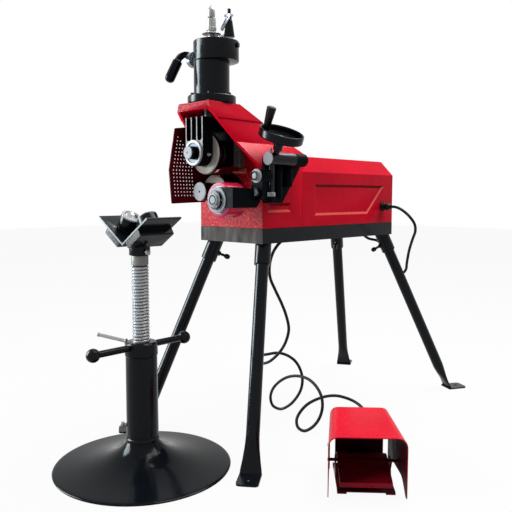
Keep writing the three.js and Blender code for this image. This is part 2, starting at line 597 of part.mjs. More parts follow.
// Hydraulic cylinder, flange, pump block and depth stud
function hydraulics(pistonHigh) {
  const at = [0, RAM.y, 0];
  const flangeLow = HEAD_TOP + GAP;
  const flangeHigh = HEAD_TOP + FLANGE.height;
  const bore = RAM.rod + RUNNING;
  const { radius } = FLANGE;
  const flange = [
    [bore, flangeLow], [radius - 1, flangeLow], [radius, flangeLow + 1], [radius, flangeHigh - 2],
    [radius - 2, flangeHigh], [bore, flangeHigh], [bore, flangeLow],
  ];
  add("cylinder_flange", turned("z", flange, at, FINE), black);
  const barrelLow = flangeHigh + GAP;
  const barrelHigh = flangeHigh + CYLINDER.height;
  add("cylinder", bar("z", CYLINDER.radius, barrelLow, barrelHigh, at, CYLINDER.bore, FINE), black);
  const centre = [BLOCK.x, BLOCK.y, 0];
  const edge = BLOCK.radius;
  const drum = turned("z", [
    [0, BLOCK_LOW], [edge - 1, BLOCK_LOW], [edge, BLOCK_LOW + 1], [edge, BLOCK_TOP - 3],
    [edge - 3, BLOCK_TOP],
    [0, BLOCK_TOP],
  ], centre, FINE);
  const port = (angle, z, size) => {
    const turn = THREE.MathUtils.degToRad(angle);
    const out = new THREE.Vector3(Math.cos(turn), Math.sin(turn), 0);
    const hole = bar("z", size, edge - 5, edge + 5, [0, 0, 0], 0, COARSE);
    return aim(hole, [BLOCK.x, BLOCK.y, z], out);
  };
  const plungerBore = [PLUNGER.x, PUMP.pivotY, 0];
  const block = cut(
    drum,
    bar("z", STUD.radius + RUNNING, BLOCK_LOW - 1, BLOCK_TOP + 1, at, 0, SEGMENTS),
    bar("z", PLUNGER.radius + RUNNING, BLOCK_TOP - 30, BLOCK_TOP + 1, plungerBore, 0, COARSE),
    port(-31, BLOCK_LOW + 32, 5),
    port(7, BLOCK_LOW + 15, 7),
    bar("x", VALVE.stem + RUNNING, VALVE.x - 5, VALVE.x + 24, [0, VALVE.y, VALVE.z]),
  );
  add("pump_block", block, black);
  const discLow = BLOCK_TOP + STUD.discAt;
  const capLow = BLOCK_TOP + STUD.capAt;
  const stud = [
    [0, pistonHigh + GAP], [STUD.radius, pistonHigh + GAP], [STUD.radius, discLow], [STUD.disc - 6, discLow],
    [STUD.disc, discLow + 1.6], [STUD.disc - 2, discLow + 3], [STUD.radius, discLow + 5],
    [STUD.radius, capLow],
    [STUD.cap, capLow], [STUD.cap, capLow + STUD.capHeight - 8], [STUD.cap - 2, capLow + STUD.capHeight - 4],
    [3, capLow + STUD.capHeight + 3], [0, capLow + STUD.capHeight + 5],
  ];
  add("depth_stud", turned("z", stud, at, SEGMENTS), zinc);
  const ring = STUD.radius + RUNNING;
  const nutLow = BLOCK_TOP + STUD.nutAt;
  const nutHigh = nutLow + STUD.nutHeight;
  const nut = [
    [ring, nutLow], [STUD.nut - 2, nutLow], [STUD.nut, nutLow + 2], [STUD.nut, nutLow + 9],
    [STUD.nut - 1.2, nutLow + 10], [STUD.nut - 1.2, nutHigh - 3], [STUD.nut - 3, nutHigh], [ring, nutHigh],
    [ring, nutLow],
  ];
  add("depth_nut", turned("z", nut, at, SEGMENTS), zinc);
}

// Release lever on the left of the pump block: a bent arm with a knurled grip
function releaseLever() {
  const { x, y, z, radius, width, stem, barrel } = VALVE;
  const face = x - width;
  const disc = turned("x", [
    [0, x + 20], [stem, x + 20], [stem, x], [barrel, x], [barrel, x - 3], [radius, x - 3], [radius, face],
    [radius - 5, face], [radius - 5, face + 4], [0, face + 4],
  ], [0, y, z], SEGMENTS);
  const hub = bar("x", barrel, face - STRAP.out, face + 5, [0, y, z], 0, SEGMENTS);
  const at = (back, up) => new THREE.Vector3(face - STRAP.out + 5, y + back, z + up);
  const bend = new THREE.CatmullRomCurve3([at(6, 2), at(-6, 11), at(-22, 12), at(-36, 5), at(-48, -9)]);
  const strap = (clear) => outline([
    [-STRAP.halfThick - clear, -STRAP.half - clear], [STRAP.halfThick + clear, -STRAP.half - clear],
    [STRAP.halfThick + clear, STRAP.half + clear], [-STRAP.halfThick - clear, STRAP.half + clear],
  ]);
  const arm = new THREE.ExtrudeGeometry(strap(0), { steps: 12, extrudePath: bend });
  add("release_lever", join(disc, arm, hub), zinc);
  const longer = new THREE.CatmullRomCurve3([...bend.points.slice(0, 4), at(-49, -11)]);
  const slot = new THREE.ExtrudeGeometry(strap(GAP), { steps: 14, extrudePath: longer });
  const along = new THREE.Vector3(0, -0.5, -0.866);
  const grip = turned("z", [
    [0, 6], [GRIP.radius - 4, 6], [GRIP.radius, 8], [GRIP.radius, GRIP.length - 8],
    [GRIP.radius - 2.5, GRIP.length - 2], [GRIP.radius - 7.5, GRIP.length + 1], [0, GRIP.length + 2],
  ], [0, 0, 0], SEGMENTS);
  add("release_grip", cut(aim(grip, at(-43, -4).toArray(), along.normalize()), slot), rubber);
}

// Hand pump: clevis and plunger on the block, and the lever with its socket, link and rod
function handPump() {
  const { pivotX, pivotY, pivotZ, pin, hub, half, cheek } = PUMP;
  const { x: socketX, radius, top, height, neck } = PUMP_SOCKET;
  const low = BLOCK_TOP + GAP;
  const side = (y) => extrude("y", outline([
    [pivotX - 9, low], [pivotX + 9, low], [pivotX + 7, pivotZ + 5, 5], [pivotX - 7, pivotZ + 5, 5],
  ]), y, y + 4, 4);
  const footEnd = PLUNGER.x - PLUNGER.radius - 1;
  const foot = box(pivotX - 11, footEnd, pivotY - cheek - 1, pivotY + cheek + 1, low, low + 3);
  const pivot = bar("y", pin, pivotY - cheek - 0.6, pivotY + cheek + 2, [pivotX, 0, pivotZ], 0, COARSE);
  add("pump_clevis", join(foot, side(pivotY - cheek), side(pivotY + cheek - 4), pivot), steel);
  const plunger = bar("z", PLUNGER.radius, BLOCK_TOP - 24, BLOCK_TOP + 6, [PLUNGER.x, pivotY, 0], 0, COARSE);
  add("pump_plunger", plunger, steel);
  const neckTop = pivotZ + height + 6;
  const socket = turned("z", [
    [0, pivotZ - 3], [radius, pivotZ - 3], [top, pivotZ + height - 10], [neck, pivotZ + height - 4],
    [neck, neckTop],
    [neck - 2.5, neckTop + 2], [neck - 2.5, neckTop + 16], [0, neckTop + 18],
  ], [socketX, pivotY, 0], SEGMENTS);
  const arm = extrude("y", outline([
    [pivotX, pivotZ - 4], [socketX, pivotZ - 2], [socketX, pivotZ + 12], [pivotX, pivotZ + 6],
  ]), pivotY - half, pivotY + half);
  const lever = cut(
    join(bar("y", hub, pivotY - half, pivotY + half, [pivotX, 0, pivotZ], 0, SEGMENTS), arm, socket),
    bar("y", pin + RUNNING, pivotY - 12, pivotY + 12, [pivotX, 0, pivotZ], 0, COARSE),
  );
  add("pump_lever", lever, black);
  const from = new THREE.Vector2(pivotX + PUMP_LINK.low[0], pivotZ + PUMP_LINK.low[1]);
  const to = new THREE.Vector2(pivotX + PUMP_LINK.high[0], pivotZ + PUMP_LINK.high[1]);
  const run = to.clone().sub(from);
  const across = new THREE.Vector2(-run.y, run.x).setLength(PUMP_LINK.half);
  const strap = outline([
    [from.x - across.x, from.y - across.y, 3], [to.x - across.x, to.y - across.y, 3],
    [to.x + across.x, to.y + across.y, 3], [from.x + across.x, from.y + across.y, 3],
  ]);
  const front = pivotY + PUMP_LINK.front;
  const holes = PUMP_LINK.holes.map((share) => {
    const at = from.clone().addScaledVector(run, share);
    return bar("y", PUMP_LINK.hole, front - 5, front + 6, [at.x, 0, at.y], 0, COARSE);
  });
  const plate = extrude("y", strap, front, front + PUMP_LINK.thick, 3);
  const ear = box(socketX - 4, socketX + 16, front, pivotY, neckTop - 6, neckTop - 1);
  const round = bar("z", neck + GAP, BLOCK_TOP, neckTop + 20, [socketX, pivotY, 0], 0, SEGMENTS);
  add("pump_link", cut(join(plate, cut(ear, round)), ...holes), zinc);
}

// Sheet guard on the left of the throat, folded onto the casting's front face behind
function guard() {
  const left = GUARD.x - GUARD.thick;
  const edge = GUARD_EDGE.map(([y, up, radius]) => [y, FRAME.top + up, radius]);
  const sheet = extrude("x", outline(edge), left, GUARD.x);
  const back = -GAP;
  const [foldLow, foldHigh] = [FRAME.top + GUARD.foldLow, FRAME.top + GUARD.foldHigh];
  const fold = box(left - GUARD.fold, GUARD.x, back - GUARD.thick, back, foldLow, foldHigh);
  add("side_guard", join(sheet, fold), deepRed);
}

// Stabiliser bracket on the casting's right side, with the cross bar, pivot and clamp stud
function stabiliserBracket() {
  const { boss, pin, barRadius, barFront, barBack, journal } = STAB;
  const { thick, web, low, high, front } = BRACKET;
  const face = frameHalf + GAP;
  const plate = outline([
    [front, low, 5], [BRACKET.foot, low, 5], [BRACKET.back, high, 6], [front, high, 6],
  ]);
  const arm = (y0, y1, z0, z1) => box(face + 2, PIVOT.x, y0, y1, z0, z1);
  const lug = { front: ARM.back + RUNNING, back: -6 };
  const rib = (y, size, from, to) => turned("z", [
    [0, PIVOT.z + from], [size, PIVOT.z + from], [size, PIVOT.z + to - size],
    [size * 0.7, PIVOT.z + to - size * 0.3],
    [0, PIVOT.z + to],
  ], [face + size, y, 0], SEGMENTS);
  const [bossFront, bossBack] = BRACKET.rearBoss;
  const body = join(
    extrude("x", plate, face, face + thick),
    arm(lug.front, lug.back, PIVOT.z - web, PIVOT.z + web),
    box(face + 2, face + 2 + thick, lug.front, 20, PIVOT.z - web, PIVOT.z + web),
    bar("y", boss, lug.front, lug.back, [PIVOT.x, 0, PIVOT.z]),
    arm(bossFront + 4, bossBack - 4, BAR_Z - web, BAR_Z + 7),
    bar("y", barRadius, bossFront, bossBack, [PIVOT.x, 0, BAR_Z]),
    rib(47, 12, -59, 29),
    rib(86, 13, -27, 31),
    box(face + 2, CLAMP.x + 12, front, 20, CLAMP.low - 2, CLAMP.low + 10),
  );
  const bracket = cut(
    body,
    bar("y", pin + RUNNING, lug.front - 1, lug.back + 1, [PIVOT.x, 0, PIVOT.z], 0, SEGMENTS),
    bar("y", journal + RUNNING, bossFront - 2, bossFront + 28, [PIVOT.x, 0, BAR_Z], 0, SEGMENTS),
    bar("y", barRadius + RUNNING, barFront - 1, barBack + GAP, [PIVOT.x, 0, BAR_Z]),
    bar("z", 5 + RUNNING, CLAMP.low - 4, CLAMP.low + 16, [CLAMP.x, CLAMP.y, 0], 0, COARSE),
  );
  add("stabiliser_bracket", bracket, black);
  const barEnd = [
    [0, barFront], [barRadius - 1.5, barFront], [barRadius, barFront + 1.5], [barRadius, barBack],
    [0, barBack],
  ];
  const crossBar = join(
    turned("y", barEnd, [PIVOT.x, 0, BAR_Z]),
    bar("y", journal, barBack - 1, bossFront + 27, [PIVOT.x, 0, BAR_Z], 0, SEGMENTS),
  );
  const tapped = bar("z", WHEEL.screw + RUNNING, 0, WHEEL.reach + 12, [0, 0, 0], 0, SEGMENTS);
  const screwHole = aim(tapped, [WHEEL.x, WHEEL.y, WHEEL.z], WHEEL_LEAN.clone().negate());
  const studTop = BAR_Z - barRadius + 6;
  const studHole = bar("z", 7.5 + GAP, studTop - 8, studTop, [CLAMP.x, CLAMP.y, 0], 0, SEGMENTS);
  add("cross_bar", cut(crossBar, screwHole, studHole), darkSteel);
  const { low: tail, collar, stem } = CLAMP;
  const stud = [
    [0, tail], [5, tail], [5, collar], [10.5, collar], [10.5, stem - 1], [7.5, stem], [7.5, studTop - GAP],
    [0, studTop - GAP],
  ];
  add("clamp_stud", turned("z", stud, [CLAMP.x, CLAMP.y, 0], SEGMENTS), darkSteel);
  const washer = ARM.back - ARM.link - GAP;
  const bolt = [
    [0, washer - 10], [11, washer - 10], [12, washer - 9], [12, washer - 2.4], [ARM.eye - 1, washer - 2.4],
    [ARM.eye - 1, washer], [pin, washer], [pin, lug.back + 3], [0, lug.back + 3],
  ];
  add("pivot_bolt", turned("y", bolt, [PIVOT.x, 0, PIVOT.z], SEGMENTS), steel);
}

// Stabiliser arm: link plate at the pivot, side bar along the roller, ear in front that carries the axle
function stabiliserArm() {
  const { pin } = STAB;
  const linkFront = ARM.back - ARM.link;
  const eye = ARM.eye;
  const link = new THREE.Shape();
  link.absarc(PIVOT.x, PIVOT.z, eye, 0, Math.PI, false);
  link.absarc(PIVOT.x, BOLT_Z, eye, Math.PI, 2 * Math.PI, false);
  link.closePath();
  const low = ARM.z - ARM.height / 2;
  const high = ARM.z + ARM.height / 2;
  const barIn = ROLLER.x + ROLLER.radius + 2.1;
  const barOut = barIn + ARM.barThick;
  const earBack = ROLLER.front - 0.6;
  const earFront = earBack - ARM.thick;
  const sideBar = extrude("x", outline([
    [earFront, low, 3], [ARM.back - 14, low, 4], [ARM.back, low + 16, 4], [ARM.back, high - 4, 3],
    [earFront, high, 3],
  ]), barIn, barOut);
  const ear = new THREE.Shape();
  ear.moveTo(barOut, high);
  ear.lineTo(ROLLER.x, high);
  ear.absarc(ROLLER.x, ARM.z, ARM.height / 2, Math.PI / 2, 1.5 * Math.PI, false);
  ear.lineTo(barOut, low);
  ear.closePath();
  const arm = cut(
    join(extrude("y", link, linkFront, ARM.back, 8), sideBar, extrude("y", ear, earFront, earBack, 8)),
    bar("y", pin + RUNNING, linkFront - 1, ARM.back + 1, [PIVOT.x, 0, PIVOT.z], 0, SEGMENTS),
    bar("y", pin + RUNNING, earFront - 1, earBack + 1, [ROLLER.x, 0, ROLLER.z], 0, SEGMENTS),
  );
  add("stabiliser_arm", arm, black);
  const at = [ROLLER.x, 0, ROLLER.z];
  const plateBack = earFront - GAP;
  add("roller_plate", bar("y", ROLLER.plate, plateBack - 2.6, plateBack, at, pin + RUNNING, FINE), steel);
  const collar = plateBack - 2.6 - GAP;
  const tip = collar - 13;
  const axle = [
    [0, tip], [14, tip], [15.5, tip + 1.5], [15.5, collar - 8], [24, collar - 8], [24, collar],
    [pin, collar],
    [pin, ROLLER.front + ROLLER.length + 4], [0, ROLLER.front + ROLLER.length + 4],
  ];
  add("roller_axle", turned("y", axle, at, SEGMENTS), steel);
  const back = ROLLER.front + ROLLER.length;
  add("roller_hub", bar("y", ROLLER.hub, ROLLER.front + 0.5, back - 0.5, at, pin + RUNNING, FINE), steel);
  const inner = ROLLER.hub + GAP;
  const { radius, front } = ROLLER;
  const tyre = [
    [inner, front], [radius - 2.5, front], [radius, front + 2.5], [radius, back - 2.5], [radius - 2.5, back],
    [inner, back], [inner, front],
  ];
  add("roller_tyre", turned("y", tyre, at, FINE), pink);
}

// Handwheel, its screw and its turning crank handle, all about the leaning screw axis
function handwheel() {
  const group = new THREE.Group();
  group.position.set(WHEEL.x, WHEEL.y, WHEEL.z);
  group.quaternion.setFromUnitVectors(new THREE.Vector3(0, 0, 1), WHEEL_LEAN);
  object.add(group);
  const { radius, rim, wall, hub, screw, reach } = WHEEL;
  const half = rim / 2;
  const wheel = turned("z", [
    [0, -reach - 10], [screw, -reach - 10], [screw, -25], [hub, -25], [hub, -half - 1], [radius - 6, -half],
    [radius - 1, -half + 2], [radius, -half + 5], [radius, half - 2], [radius - 2, half],
    [radius - wall + 2, half],
    [radius - wall, half - 3], [radius - wall, -half + 6], [hub + 5, -half + 6], [hub + 1, -half + 10],
    [screw, -half + 10], [0, -half + 12],
  ], [0, 0, 0], FINE);
  const crankAt = [CRANK.x, CRANK.y, 0];
  const pinHole = bar("z", CRANK.pin + RUNNING, -half - 2, -half + 8, crankAt, 0, 14);
  add("handwheel", cut(wheel, pinHole), black, group);
  const foot = -half + 6 + GAP;
  const end = foot + CRANK.length;
  add("crank_handle", turned("z", [
    [0, -half + 1], [CRANK.pin, -half + 1], [CRANK.pin, foot], [CRANK.foot, foot], [CRANK.foot, foot + 6],
    [CRANK.head, end - 7], [CRANK.head, end - 2], [CRANK.head - 2, end], [0, end],
  ], crankAt, SEGMENTS), plastic, group);
}

// Foot switch: hood, base, pedal, pin and switch box, in its own turned frame
function footSwitch() {
  const group = new THREE.Group();
  group.position.set(PEDAL.x, PEDAL.y, 0);
  group.rotation.z = THREE.MathUtils.degToRad(PEDAL.turn);
  object.add(group);
  const { width, depth, height, rise, sheet, taper } = PEDAL;
  const half = width / 2;
  const hoop = (inset) => outline([
    [-half + inset, -20], [half - inset, -20], [half - inset, height - inset, 26 - inset],
    [-half + inset, height - inset, 26 - inset],
  ]);
  const narrowed = (geometry) => {
    const place = geometry.getAttribute("position");
    for (let i = 0; i < place.count; i++) {
      const share = place.getY(i) / depth;
      place.setX(i, place.getX(i) * (1 - taper * share));
      place.setZ(i, place.getZ(i) + rise * share);
    }
    return geometry;
  };
  const shell = cut(
    narrowed(extrude("y", hoop(0), 0, depth, 6)),
    narrowed(extrude("y", hoop(sheet), -4, depth + 4, 6)),
  );
  const cheekTop = height * 0.24;
  const keep = extrude("x", outline([
    [-10, 0], [9, 0], [44, cheekTop, 14], [depth - 46, cheekTop, 14], [depth - 30, 0], [depth + 10, 0],
    [depth + 10, FAR], [-10, FAR],
  ]), -FAR, FAR);
  const { y: pinY, z: pinZ, radius: pin } = PEDAL_PIN;
  const pinHole = bar("x", pin + RUNNING, -half - 10, half + 10, [0, pinY, pinZ], 0, COARSE);
  const hood = cut(common(shell, keep), pinHole);
  const { beside, low, high, pad: padWidth, padLength, cheek: thick } = SWITCH_BASE;
  const side = half * (1 - taper) - sheet - beside;
  const floor = box(-side, side, 18, depth - 8, low, high);
  const cheek = (x) => extrude("x", outline([
    [pinY - 20, low + 1], [pinY + 20, low + 1], [pinY + 10, pinZ + 10, 5], [pinY - 10, pinZ + 10, 5],
  ]), x, x + thick, 4);
  const pad = (x, y) => box(x, x + padWidth, y, y + padLength, 0, low + 1);
  const reach = half * (1 - (taper * pinY) / depth) + 3;
  const base = join(
    floor, cheek(-side), cheek(side - thick), pad(-side, 18), pad(side - padWidth, 18),
    pad(-side, depth - 24), pad(side - padWidth, depth - 24),
    bar("x", pin, -reach, reach, [0, pinY, pinZ], 0, COARSE),
  );
  add("switch_hood", hood, red, group);
  add("switch_base", base, deepRed, group);
  const treadle = side - 2 * thick;
  const plate = extrude("x", outline([
    [18, 16], [21, 16], [21, 23], [pinY + 20, pinZ + 5], [pinY + 36, pinZ + 1], [pinY + 37, pinZ + 4],
    [pinY + 20, pinZ + 9], [19, 27],
  ]), -treadle, treadle);
  const tab = (x) => extrude("x", outline([
    [pinY - 12, pinZ - 8, 6], [pinY + 12, pinZ - 8, 6], [pinY + 14, pinZ + 6], [pinY - 14, pinZ - 1],
  ]), x, x + thick, 4);
  add("foot_pedal", cut(join(plate, tab(-treadle), tab(treadle - thick)), pinHole), deepRed, group);
  const wire = CORD.diameter / 2 + GAP;
  const relief = turned("y", [
    [0, depth - 9], [11, depth - 9], [11, depth], [8, depth + 14], [6.5, depth + 22], [0, depth + 22],
  ], [0, 0, 26], SEGMENTS);
  const cordHole = bar("y", wire, depth - 18, depth + 23, [0, 0, 26], 0, COARSE);
  const switchBox = box(-26, 26, depth - 42, depth - 8, high + GAP, 44);
  add("switch_box", cut(join(switchBox, relief), cordHole), plastic, group);
}

// Free-standing pipe support: dish, column, nut with handle, screw and V head
function pipeStand() {
  const group = new THREE.Group();
  group.position.set(STAND.x, STAND.y, 0);
  object.add(group);
  const { radius, dish, column, screw, neck, nutLow, nutHigh } = STAND;
  const flare = new THREE.SplineCurve([
    [column, dish], [column + 8, dish - 14], [column + 24, dish - 32], [column + 56, dish - 49],
    [radius - 78, 14], [radius - 30, 8], [radius - 4, 5.5],
  ].map(([r, z]) => new THREE.Vector2(r, z)));
  const skin = flare.getPoints(7).map((p) => [p.x, p.y]);
  const under = flare.getPoints(4).slice(1, -1).reverse().map((p) => [p.x - 3, Math.max(p.y - 3.6, 1.2)]);
  const base = [
    ...skin, [radius, 3], [radius - 1, 0], [radius - 5, 0], ...under, [30, dish - 12], [30, dish], skin[0],
  ];
  add("stand_base", turned("z", base, [0, 0, 0], DISH_SIDES), black, group);
  const tube = [
    [screw + 1, dish + GAP], [column, dish + GAP], [column - 1, nutLow - GAP], [screw + 1, nutLow - GAP],
    [screw + 1, dish + GAP],
  ];
  add("stand_column", turned("z", tube, [0, 0, 0], FINE), black, group);
  const barZ = (nutLow + nutHigh) / 2 + 5;
  const { reach, ball, radius: barRadius } = HANDLE;
  const handleBall = (side) => new THREE.SphereGeometry(ball, 14, 8).translate(0, side * reach, barZ);
  const nut = cut(
    join(
      turned("z", [
        [0, nutLow], [column + 0.5, nutLow], [column + 1, nutLow + 3], [column, nutHigh - 4],
        [column - 4, nutHigh],
        [0, nutHigh],
      ], [0, 0, 0], FINE),
      bar("y", barRadius, -reach, reach, [0, 0, barZ], 0, SEGMENTS),
      handleBall(1),
      handleBall(-1),
    ),
    bar("z", screw + 0.6, nutLow - 1, nutHigh + 1, [0, 0, 0], 0, FINE),
    aim(bar("z", 4.5 + RUNNING, screw + 8, 60, [0, 0, 0], 0, COARSE), [0, 0, barZ + 3], LEVER_WAY),
  );
  add("stand_nut", nut, black, group);
  const lever = turned("z", [
    [0, screw + 9], [4.5, screw + 9], [4.5, 118], [5, 119], [5, 124], [0, 125],
  ], [0, 0, 0], COARSE);
  add("lock_lever", aim(lever, [0, 0, barZ + 3], LEVER_WAY), zinc, group);
  const shoulder = VHEAD.low - 32;
  add("stand_screw", turned("z", [
    [0, dish + 34], [screw - 2, dish + 34], [screw, dish + 36], [screw, shoulder - 2], [screw - 2, shoulder],
    [neck, shoulder], [neck, VHEAD.low - 12], [0, VHEAD.low - 12],
  ], [0, 0, 0], FINE), zinc, group);
  vHead(group, shoulder);
}

// V head: two bent plates with box stiffeners and a socket, carrying two ball units
function vHead(group, shoulder) {
  const { half, low, high, length, plate, box: deep, socket, boxFrom, boxTo, ballAt } = VHEAD;
  const rise = new THREE.Vector2(half, high - low).normalize();
  const out = new THREE.Vector2(rise.y, -rise.x);
  const point = (along, off) => [rise.x * along + out.x * off, low + rise.y * along + out.y * off];
  const long = Math.hypot(half, high - low);
  const depthAtApex = plate / rise.x;
  const wing = (side) => {
    const flip = ([x, z, r = 0]) => [side * x, z, r];
    const sheet = outline([
      flip([0, low]), flip([...point(long, 0), 2]), flip([...point(long, plate), 2]),
      flip([0, low - depthAtApex]),
    ]);
    const stiff = outline([
      flip(point(boxFrom, plate - 1)), flip(point(boxTo, plate - 1)),
      flip([...point(boxTo, plate + deep), 3]), flip([...point(boxFrom, plate + deep), 3]),
    ]);
    return join(
      extrude("y", sheet, -length / 2, length / 2, 3),
      extrude("y", stiff, -length / 2 + 1, length / 2 - 1, 3),
    );
  };
  const core = bar("z", socket, shoulder + GAP, low + 6, [0, 0, 0], 0, FINE);
  const underside = outline([[-half, 0], [half, 0], [half, high - 1], [0, low - 2], [-half, high - 1]]);
  const under = extrude("y", underside, -length, length);
  const onWing = (geometry, side) => {
    const [x, z] = point(ballAt, 0);
    return aim(geometry, [side * x, 0, z], new THREE.Vector3(-side * rise.y, 0, rise.x));
  };
  const cup = (side) => onWing(turned("z", [
    [0, -2], [24, -2], [24, 4], [22, 5], [22, 24], [20, 27], [BALL.radius + 0.6, 27],
    [BALL.radius + 0.6, BALL.seat], [0, BALL.seat],
  ], [0, 0, 0], SEGMENTS), side);
  const head = cut(
    join(wing(1), wing(-1), common(core, under), cup(1), cup(-1)),
    bar("z", STAND.neck + RUNNING, shoulder - 1, low - 11.5, [0, 0, 0], 0, FINE),
    bar("x", 4 + RUNNING, 10, 60, [0, 0, shoulder + 9], 0, COARSE),
  );
  add("v_head", head, black, group);
  // The screw is backed off, with its tip still in the socket's wall, so that the head swivels
  const tip = STAND.screw + GAP;
  add("head_screw", turned("x", [
    [0, tip], [4, tip], [4, socket + 5], [7, socket + 5], [7, socket + 10],
    [4, socket + 14], [0, socket + 14],
  ], [0, 0, shoulder + 9], COARSE), zinc, group);
  for (const [name, side] of [["left", -1], ["right", 1]]) {
    const ball = new THREE.SphereGeometry(BALL.radius, 14, 9).translate(0, 0, BALL.seat + GAP + BALL.radius);
    add("ball_" + name, onWing(ball, side), steel, group);
  }
}

// Foot-switch cord. It leaves the gland and goes round behind the rear leg up into the frame: places from
// the frame's right-hand rear top corner
const CORD_REAR = [
  [36.4, -63, 53], [52, -62, 52], [71, -58, 44], [94, -48, 23], [104, -31, -2], [98, -14, -26], [79, 3, -54],
  [57, 20, -94], [39, 38, -138], [24, 58, -164], [2, 72, -179], [-19, 70, -168], [-30, 52, -130],
  [-42, 30, -88], [-58, 2, -66], [-72, -28, -58], [-74, -58, -44], [-58, -88, -33], [-32, -128, -31.5],
];

// It drops through the frame's opening in front: places from the front face's middle and the frame's top
const CORD_DROP = [[98, 160, -32], [78, 135, -39], [52, 125, -70], [34, 126, -114], [31, 132, -152]];

// It hangs and lies in loops on the floor up to the switch: places above the floor
const CORD_LOOPS = [
  [39, 145, 412], [52, 158, 373], [62, 168, 336], [64, 178, 296], [52, 184, 262], [28, 190, 226],
  [3, 191, 199], [-30, 189, 173], [-56, 185, 166], [-72, 183, 175], [-64, 186, 187], [-40, 197, 195],
  [-9, 212, 202], [18, 224, 197], [40, 236, 181], [52, 246, 156], [55, 254, 124], [45, 260, 88],
  [23, 262, 53], [-6, 261, 23], [-38, 256, 5.2], [-62, 248, 12], [-66, 240, 38], [-50, 232, 72],
  [-18, 226, 104], [24, 220, 130], [70, 214, 144], [115, 208, 145], [150, 202, 132], [174, 196, 110],
  [184, 190, 82], [181, 181, 50], [164, 171, 21], [140, 161, 5.2], [118, 159, 11], [108, 165, 30],
  [109, 182, 51], [116, 207, 69], [130, 236, 81], [146, 262, 87], [164, 285, 87], [190, 300, 82],
  [218, 305, 75], [248, 298, 66], [278, 278, 56], [306, 248, 46], [330, 206, 36], [346, 164, 28],
  [358, 132, 26], [366.5, 106.5, 26],
];

function cordRoute() {
  const rear = CORD_REAR.map(([x, y, z]) => [frameHalf + x, FRAME.length + y, FRAME.top + z]);
  const back = FRAME.length - CORD.runBack;
  const step = (CORD.runFront - back) / 3;
  const run = [0, 1, 2, 3].map((i) => [frameHalf - CORD.fromSide, back + i * step, FRAME.top - CORD.below]);
  const drop = CORD_DROP.map(([x, y, z]) => [x, y, FRAME.top + z]);
  const points = [...rear, ...run, ...drop, ...CORD_LOOPS].map((place) => new THREE.Vector3(...place));
  const route = new THREE.CatmullRomCurve3(points, false, "centripetal");
  route.arcLengthDivisions = 800;
  return route;
}

// The least gap between two places of the cord that are not close along it
function leastGap(route) {
  const points = route.getSpacedPoints(CORD.checks);
  const apart = Math.ceil((6 * CORD.diameter * CORD.checks) / route.getLength());
  let least = Infinity;
  for (let i = 0; i < points.length; i++) {
    for (let j = i + apart; j < points.length; j++) {
      least = Math.min(least, points[i].distanceTo(points[j]));
    }
  }
  return least - CORD.diameter;
}

// The foot switch's cord, one unbroken tube
function cord() {
  const route = cordRoute();
  const section = new THREE.Shape();
  section.absarc(0, 0, CORD.diameter / 2, 0, 2 * Math.PI, false);
  const settings = { steps: CORD.steps, curveSegments: 4, extrudePath: route };
  const tube = new THREE.ExtrudeGeometry(section, settings);
  add("foot_cord", tube, rubber);
  console.log("cord length " + route.getLength().toFixed(0) + " mm");
  console.log("cord's least gap to itself " + leastGap(route).toFixed(1) + " mm");
}

baseFrame();
legs.forEach(leg);
legs.forEach(legScrew);
frameCasting();
rearHousing();
cableGland();
drive();
lowerRoll();
const pistonHigh = ramAndYoke();
guideRails();
hydraulics(pistonHigh);
releaseLever();
handPump();
guard();
stabiliserBracket();
stabiliserArm();
handwheel();
footSwitch();
pipeStand();
cord();

// The origin goes to the middle of the floor that the whole object covers, to the nearest millimetre.
const covered = new THREE.Box3().setFromObject(object).getCenter(new THREE.Vector3()).round().setZ(0);
object.children.forEach((child) => child.position.sub(covered));
console.log("machine frame's origin moved by " + covered.x + ", " + covered.y + " mm");

export default object;
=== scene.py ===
"""Looks of a motor-driven hydraulic pipe groover, its foot switch and its pipe stand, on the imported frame.

Shapes are drawn in millimetres from the machine's own corner: x to the right seen from the front, the rolls
facing -y, z up from the floor, x = 0 on the middle plane and y = 0 on the front face of the base frame.
`make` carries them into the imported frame's metres.
"""

import json
import math

import bmesh
import bpy
from bpy.props import FloatProperty, FloatVectorProperty, IntProperty
from mathutils import Matrix, Vector


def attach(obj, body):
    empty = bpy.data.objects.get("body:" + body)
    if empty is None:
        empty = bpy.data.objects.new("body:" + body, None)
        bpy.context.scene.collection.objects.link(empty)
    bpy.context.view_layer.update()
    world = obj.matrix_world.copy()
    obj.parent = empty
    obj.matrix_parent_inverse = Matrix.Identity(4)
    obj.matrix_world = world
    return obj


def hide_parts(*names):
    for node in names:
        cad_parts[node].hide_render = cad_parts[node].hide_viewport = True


bl_info = {
    "name": "Pipe groover looks",
    "version": (1, 0, 0),
    "blender": (4, 5, 0),
    "location": "3D View > Sidebar > Groover",
    "description": "Dresses the packed pipe groover, its foot switch and its pipe stand",
    "category": "Object",
}

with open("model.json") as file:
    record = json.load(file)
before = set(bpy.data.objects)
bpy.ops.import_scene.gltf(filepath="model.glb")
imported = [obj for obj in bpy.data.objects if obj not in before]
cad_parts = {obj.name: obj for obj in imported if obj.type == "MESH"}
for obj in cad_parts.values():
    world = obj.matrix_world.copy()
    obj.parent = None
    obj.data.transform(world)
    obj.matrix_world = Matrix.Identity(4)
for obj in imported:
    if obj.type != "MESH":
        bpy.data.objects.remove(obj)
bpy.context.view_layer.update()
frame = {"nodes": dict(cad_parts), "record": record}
BODY_OF = {
    node: body for body, nodes in frame["record"]["behaviour"]["bodies"].items() for node in nodes
}

